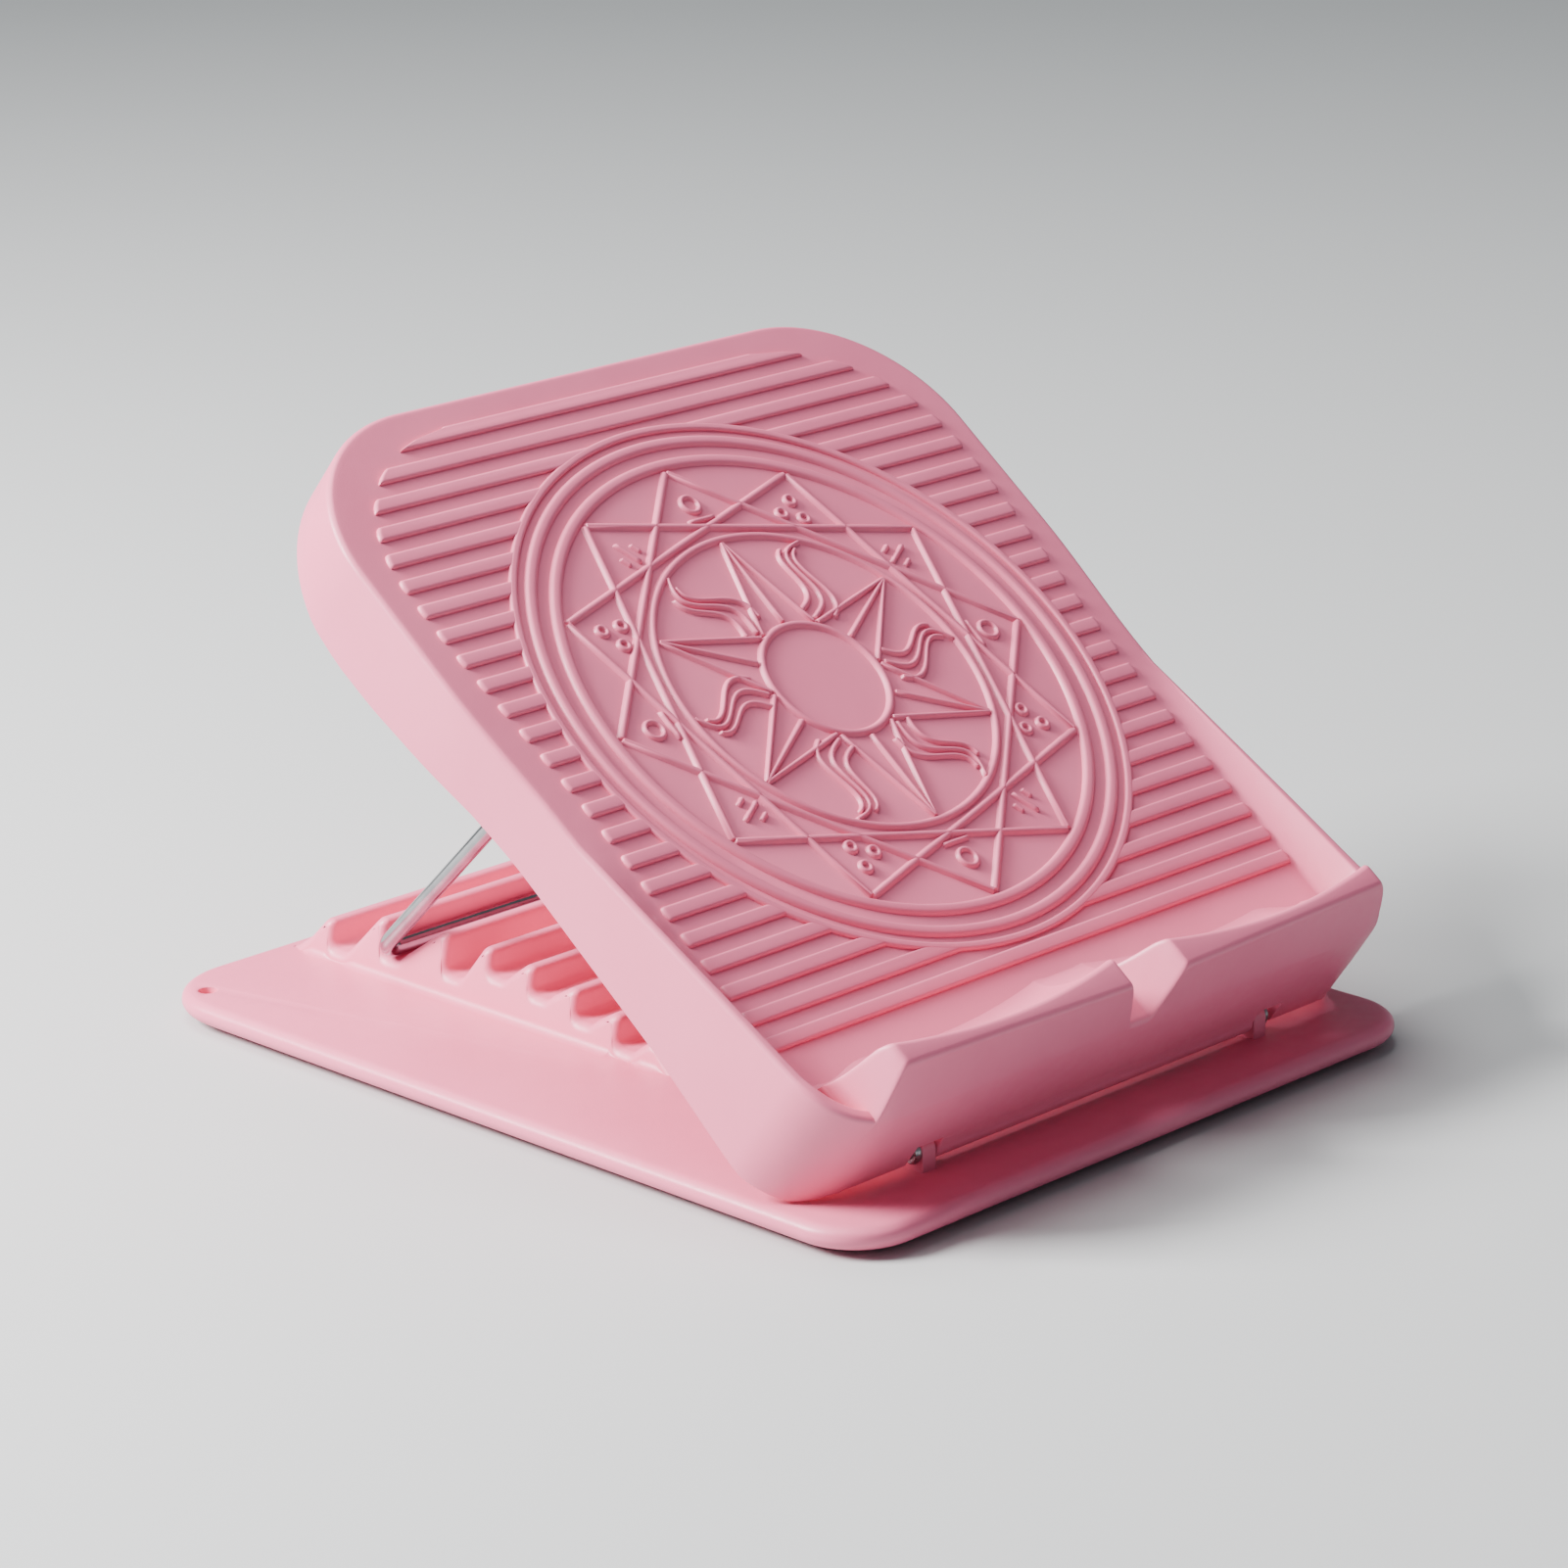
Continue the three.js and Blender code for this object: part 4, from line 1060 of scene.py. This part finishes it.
def hinge_steel(zinc):
    shape = Shape()
    end = ROD_HALF - 0.5
    profile = [(0.01, -ROD_HALF), (ROD_R - 0.5, -ROD_HALF), (ROD_R, -end), (ROD_R, end),
               (ROD_R - 0.5, ROD_HALF), (0.01, ROD_HALF)]
    shape.turned(profile, (0, 0, 0), axis="X", sides=36)
    body = body_of_node("hinge_rod")
    shape.piece("rod", BOARD_FRAME, body, zinc, ["hinge_rod"])
    for side, word in ((-1, "left"), (1, "right")):
        x0 = EAR_OUTSIDE + 0.3
        x1 = x0 + CLIP_THICK
        bore = ROD_R + 0.05
        flat = [(bore, x0), (4.2, x0), (4.5, x0 + 0.3), (4.5, x0 + 0.8), (3.6, x1), (bore, x1)]
        shape = Shape()
        shape.turned([(r, side * h) for r, h in flat][::side], (0, 0, 0), axis="X", sides=36, closed=True)
        node = f"hinge_clip_{word}"
        shape.piece(f"clip_{word}", BOARD_FRAME, body_of_node(node), zinc, [node])


def bail_centre_line():
    """Points along the bent rod in the board's frame, and the direction of its legs."""
    pivot = Vector((0, PIVOT_Y, PIVOT_Z))
    crossbar = Matrix.Rotation(-TILT, 3, "X") @ Vector((0, *CROSSBAR))
    length = (crossbar - pivot).length
    along = (crossbar - pivot) / length
    points = []

    def at(x, distance):
        return pivot + along * distance + Vector((x, 0, 0))

    def bend(x_sign, centre_x, centre_d, start, end):
        for a in np.radians(np.linspace(start, end, 13)):
            sideways = x_sign * BAIL_BEND * math.cos(a)
            points.append(at(centre_x + sideways, centre_d + BAIL_BEND * math.sin(a)))

    near = BAIL_HALF - BAIL_BEND
    for x in np.linspace(-BAIL_HALF + BAIL_STUB, -near, 4)[:-1]:
        points.append(at(x, 0))
    bend(-1, -near, BAIL_BEND, -90, 0)
    points.extend(at(-BAIL_HALF, d) for d in np.linspace(BAIL_BEND, length - BAIL_BEND, 14)[1:-1])
    bend(-1, -near, length - BAIL_BEND, 0, 90)
    points.extend(at(x, length) for x in np.linspace(-near, near, 16)[1:-1])
    bend(1, near, length - BAIL_BEND, 90, 0)
    points.extend(at(BAIL_HALF, d) for d in np.linspace(length - BAIL_BEND, BAIL_BEND, 14)[1:-1])
    bend(1, near, BAIL_BEND, 0, -90)
    points.extend(at(x, 0) for x in np.linspace(near, BAIL_HALF - BAIL_STUB, 4)[1:])
    return points, along


def bail(steel):
    points, along = bail_centre_line()
    normal = Vector((1, 0, 0)).cross(along)
    count = len(points)
    tube = []
    for i, point in enumerate(points):
        tangent = (points[min(i + 1, count - 1)] - points[max(i - 1, 0)]).normalized()
        side = tangent.cross(normal)
        angles = [2 * math.pi * k / BAIL_SIDES for k in range(BAIL_SIDES)]
        tube.append([point + (side * math.cos(a) + normal * math.sin(a)) * BAIL_R for a in angles])
    start = [end_ring(tube[0], points[0], points[1], *cap) for cap in END_CAP]
    finish = [end_ring(tube[-1], points[-1], points[-2], *cap) for cap in END_CAP[::-1]]
    shape = Shape()
    shape.grid([*start, *tube[1:-1], *finish], around=True)
    shape.piece("bail", BOARD_FRAME, "bail", steel, ["support_bail"], sharp=50)


def end_ring(ring, centre, inwards, size, back):
    step = (inwards - centre).normalized() * back
    return [centre + (point - centre) * size + step for point in ring]


def screws(zinc):
    head = SCREW_HEAD_Z
    for side, word in ((-1, "left"), (1, "right")):
        for end, place in ((-1, "front"), (1, "rear")):
            centre = (side * CLAMP_X, PIVOT_Y + end * SCREW_Y, 0)
            shape = Shape()
            profile = [(0.01, 14.2), (0.7, 13.9), (1.8, 12.6), (1.8, head), (3.8, head)]
            profile += [(3.78, head - 0.35), (3.45, head - 1.3), (2.7, head - 2.05)]
            profile += [(1.5, head - 2.35), (1.25, head - 2.38), (1.2, head - 1.5), (0.01, head - 1.3)]
            shape.turned(profile, centre, sides=32)
            for angle in (0, 90):
                add_slot_arm(shape, centre, head - 2.36, angle)
            node = f"clamp_screw_{word}_{place}"
            shape.piece(f"screw_{word}_{place}", BOARD_FRAME, "board", zinc, [node])


def add_slot_arm(shape, centre, z, angle):
    """One arm of the cross drive: a small sloping face on each side of the middle."""
    turn = Matrix.Rotation(math.radians(angle), 3, "Z")
    for sign in (-1, 1):
        near, far = 1.0 * sign, 2.1 * sign
        corners = [(near, -0.42, 0), (far, -0.3, 0.12), (far, 0.3, 0.12), (near, 0.42, 0)]
        ring = [Vector(centre) + turn @ Vector(c) + Vector((0, 0, z)) for c in corners]
        shape.cap(ring, flip=sign > 0)


def finish_clamps(plastic):
    """The CAD clamps keep their shape and get rounded edges and the clamp's plastic."""
    for word in ("left", "right"):
        node = frame["nodes"][f"bail_clamp_{word}"]
        node.data.materials.clear()
        node.data.materials.append(plastic["material"])
        bevel = node.modifiers.new("edges", "BEVEL")
        bevel.width = 0.0004
        bevel.segments = 2
        bevel.limit_method = "ANGLE"
        bevel.angle_limit = math.radians(35)


# ---- Scene -------------------------------------------------


def plain(name, colour, roughness):
    made = new_material(name, "", Roughness=roughness)
    made["shader"].inputs["Base Color"].default_value = (*colour, 1)
    return made["material"]


def add_floor():
    mesh = bpy.data.meshes.new("floor")
    half = 6.0
    corners = [(-half, -half, 0), (half, -half, 0), (half, half, 0), (-half, half, 0)]
    mesh.from_pydata(corners, [], [(0, 1, 2, 3)])
    mesh.materials.append(plain("floor", (0.53, 0.53, 0.53), 0.9))
    floor = bpy.data.objects.new("floor", mesh)
    bpy.context.scene.collection.objects.link(floor)


def add_light(name, place, target, size, power):
    data = bpy.data.lights.new(name, "AREA")
    data.shape = "RECTANGLE"
    data.size, data.size_y = size
    data.energy = power
    light = bpy.data.objects.new(name, data)
    light.location = place
    light.rotation_euler = (Vector(target) - Vector(place)).to_track_quat("-Z", "Y").to_euler()
    bpy.context.scene.collection.objects.link(light)


def add_world(colour, strength):
    world = bpy.data.worlds.new("studio")
    world.use_nodes = True
    background = world.node_tree.nodes["Background"]
    background.inputs["Color"].default_value = (*colour, 1)
    background.inputs["Strength"].default_value = strength
    bpy.context.scene.world = world


def add_camera():
    """The photograph's viewpoint."""
    data = bpy.data.cameras.new("camera")
    data.sensor_width = 36
    data.lens = 119.7
    data.clip_end = 50
    camera = bpy.data.objects.new("camera", data)
    right = Vector((0.6992, -0.7149, -0.0126)).normalized()
    ahead = Vector((0.6790, 0.6694, -0.3015)).normalized()
    up = right.cross(ahead).normalized()
    ahead = up.cross(right).normalized()
    turn = Matrix((right, up, -ahead)).transposed()
    camera.matrix_world = Matrix.Translation((-1.2346, -1.2212, 0.6397)) @ turn.to_4x4()
    bpy.context.scene.collection.objects.link(camera)
    bpy.context.scene.camera = camera


def build():
    pink = pink_plastic()
    steel = polished_steel()
    zinc = zinc_steel()
    board_shell(pink)
    board_underside(pink)
    hinge_barrel(pink)
    heel_stop(pink)
    deck_relief(pink)
    base_shell(pink)
    base_underside(pink)
    rack(pink)
    hinge_ears(pink)
    feet(foot_rubber())
    hinge_steel(zinc)
    bail(steel)
    screws(zinc)
    finish_clamps(clamp_plastic())


def light_scene():
    add_floor()
    add_world((0.80, 1.0, 1.10), 0.185)
    centre = Vector((0, 0, 0.1))
    add_light("key", centre + 2.0 * Vector((-0.66, 0.50, 0.56)), centre, (0.8, 0.8), 155)
    add_light("top", centre + Vector((-0.3, 0.6, 2.1)), centre, (1.6, 1.6), 52)


add_camera()
light_scene()
build()
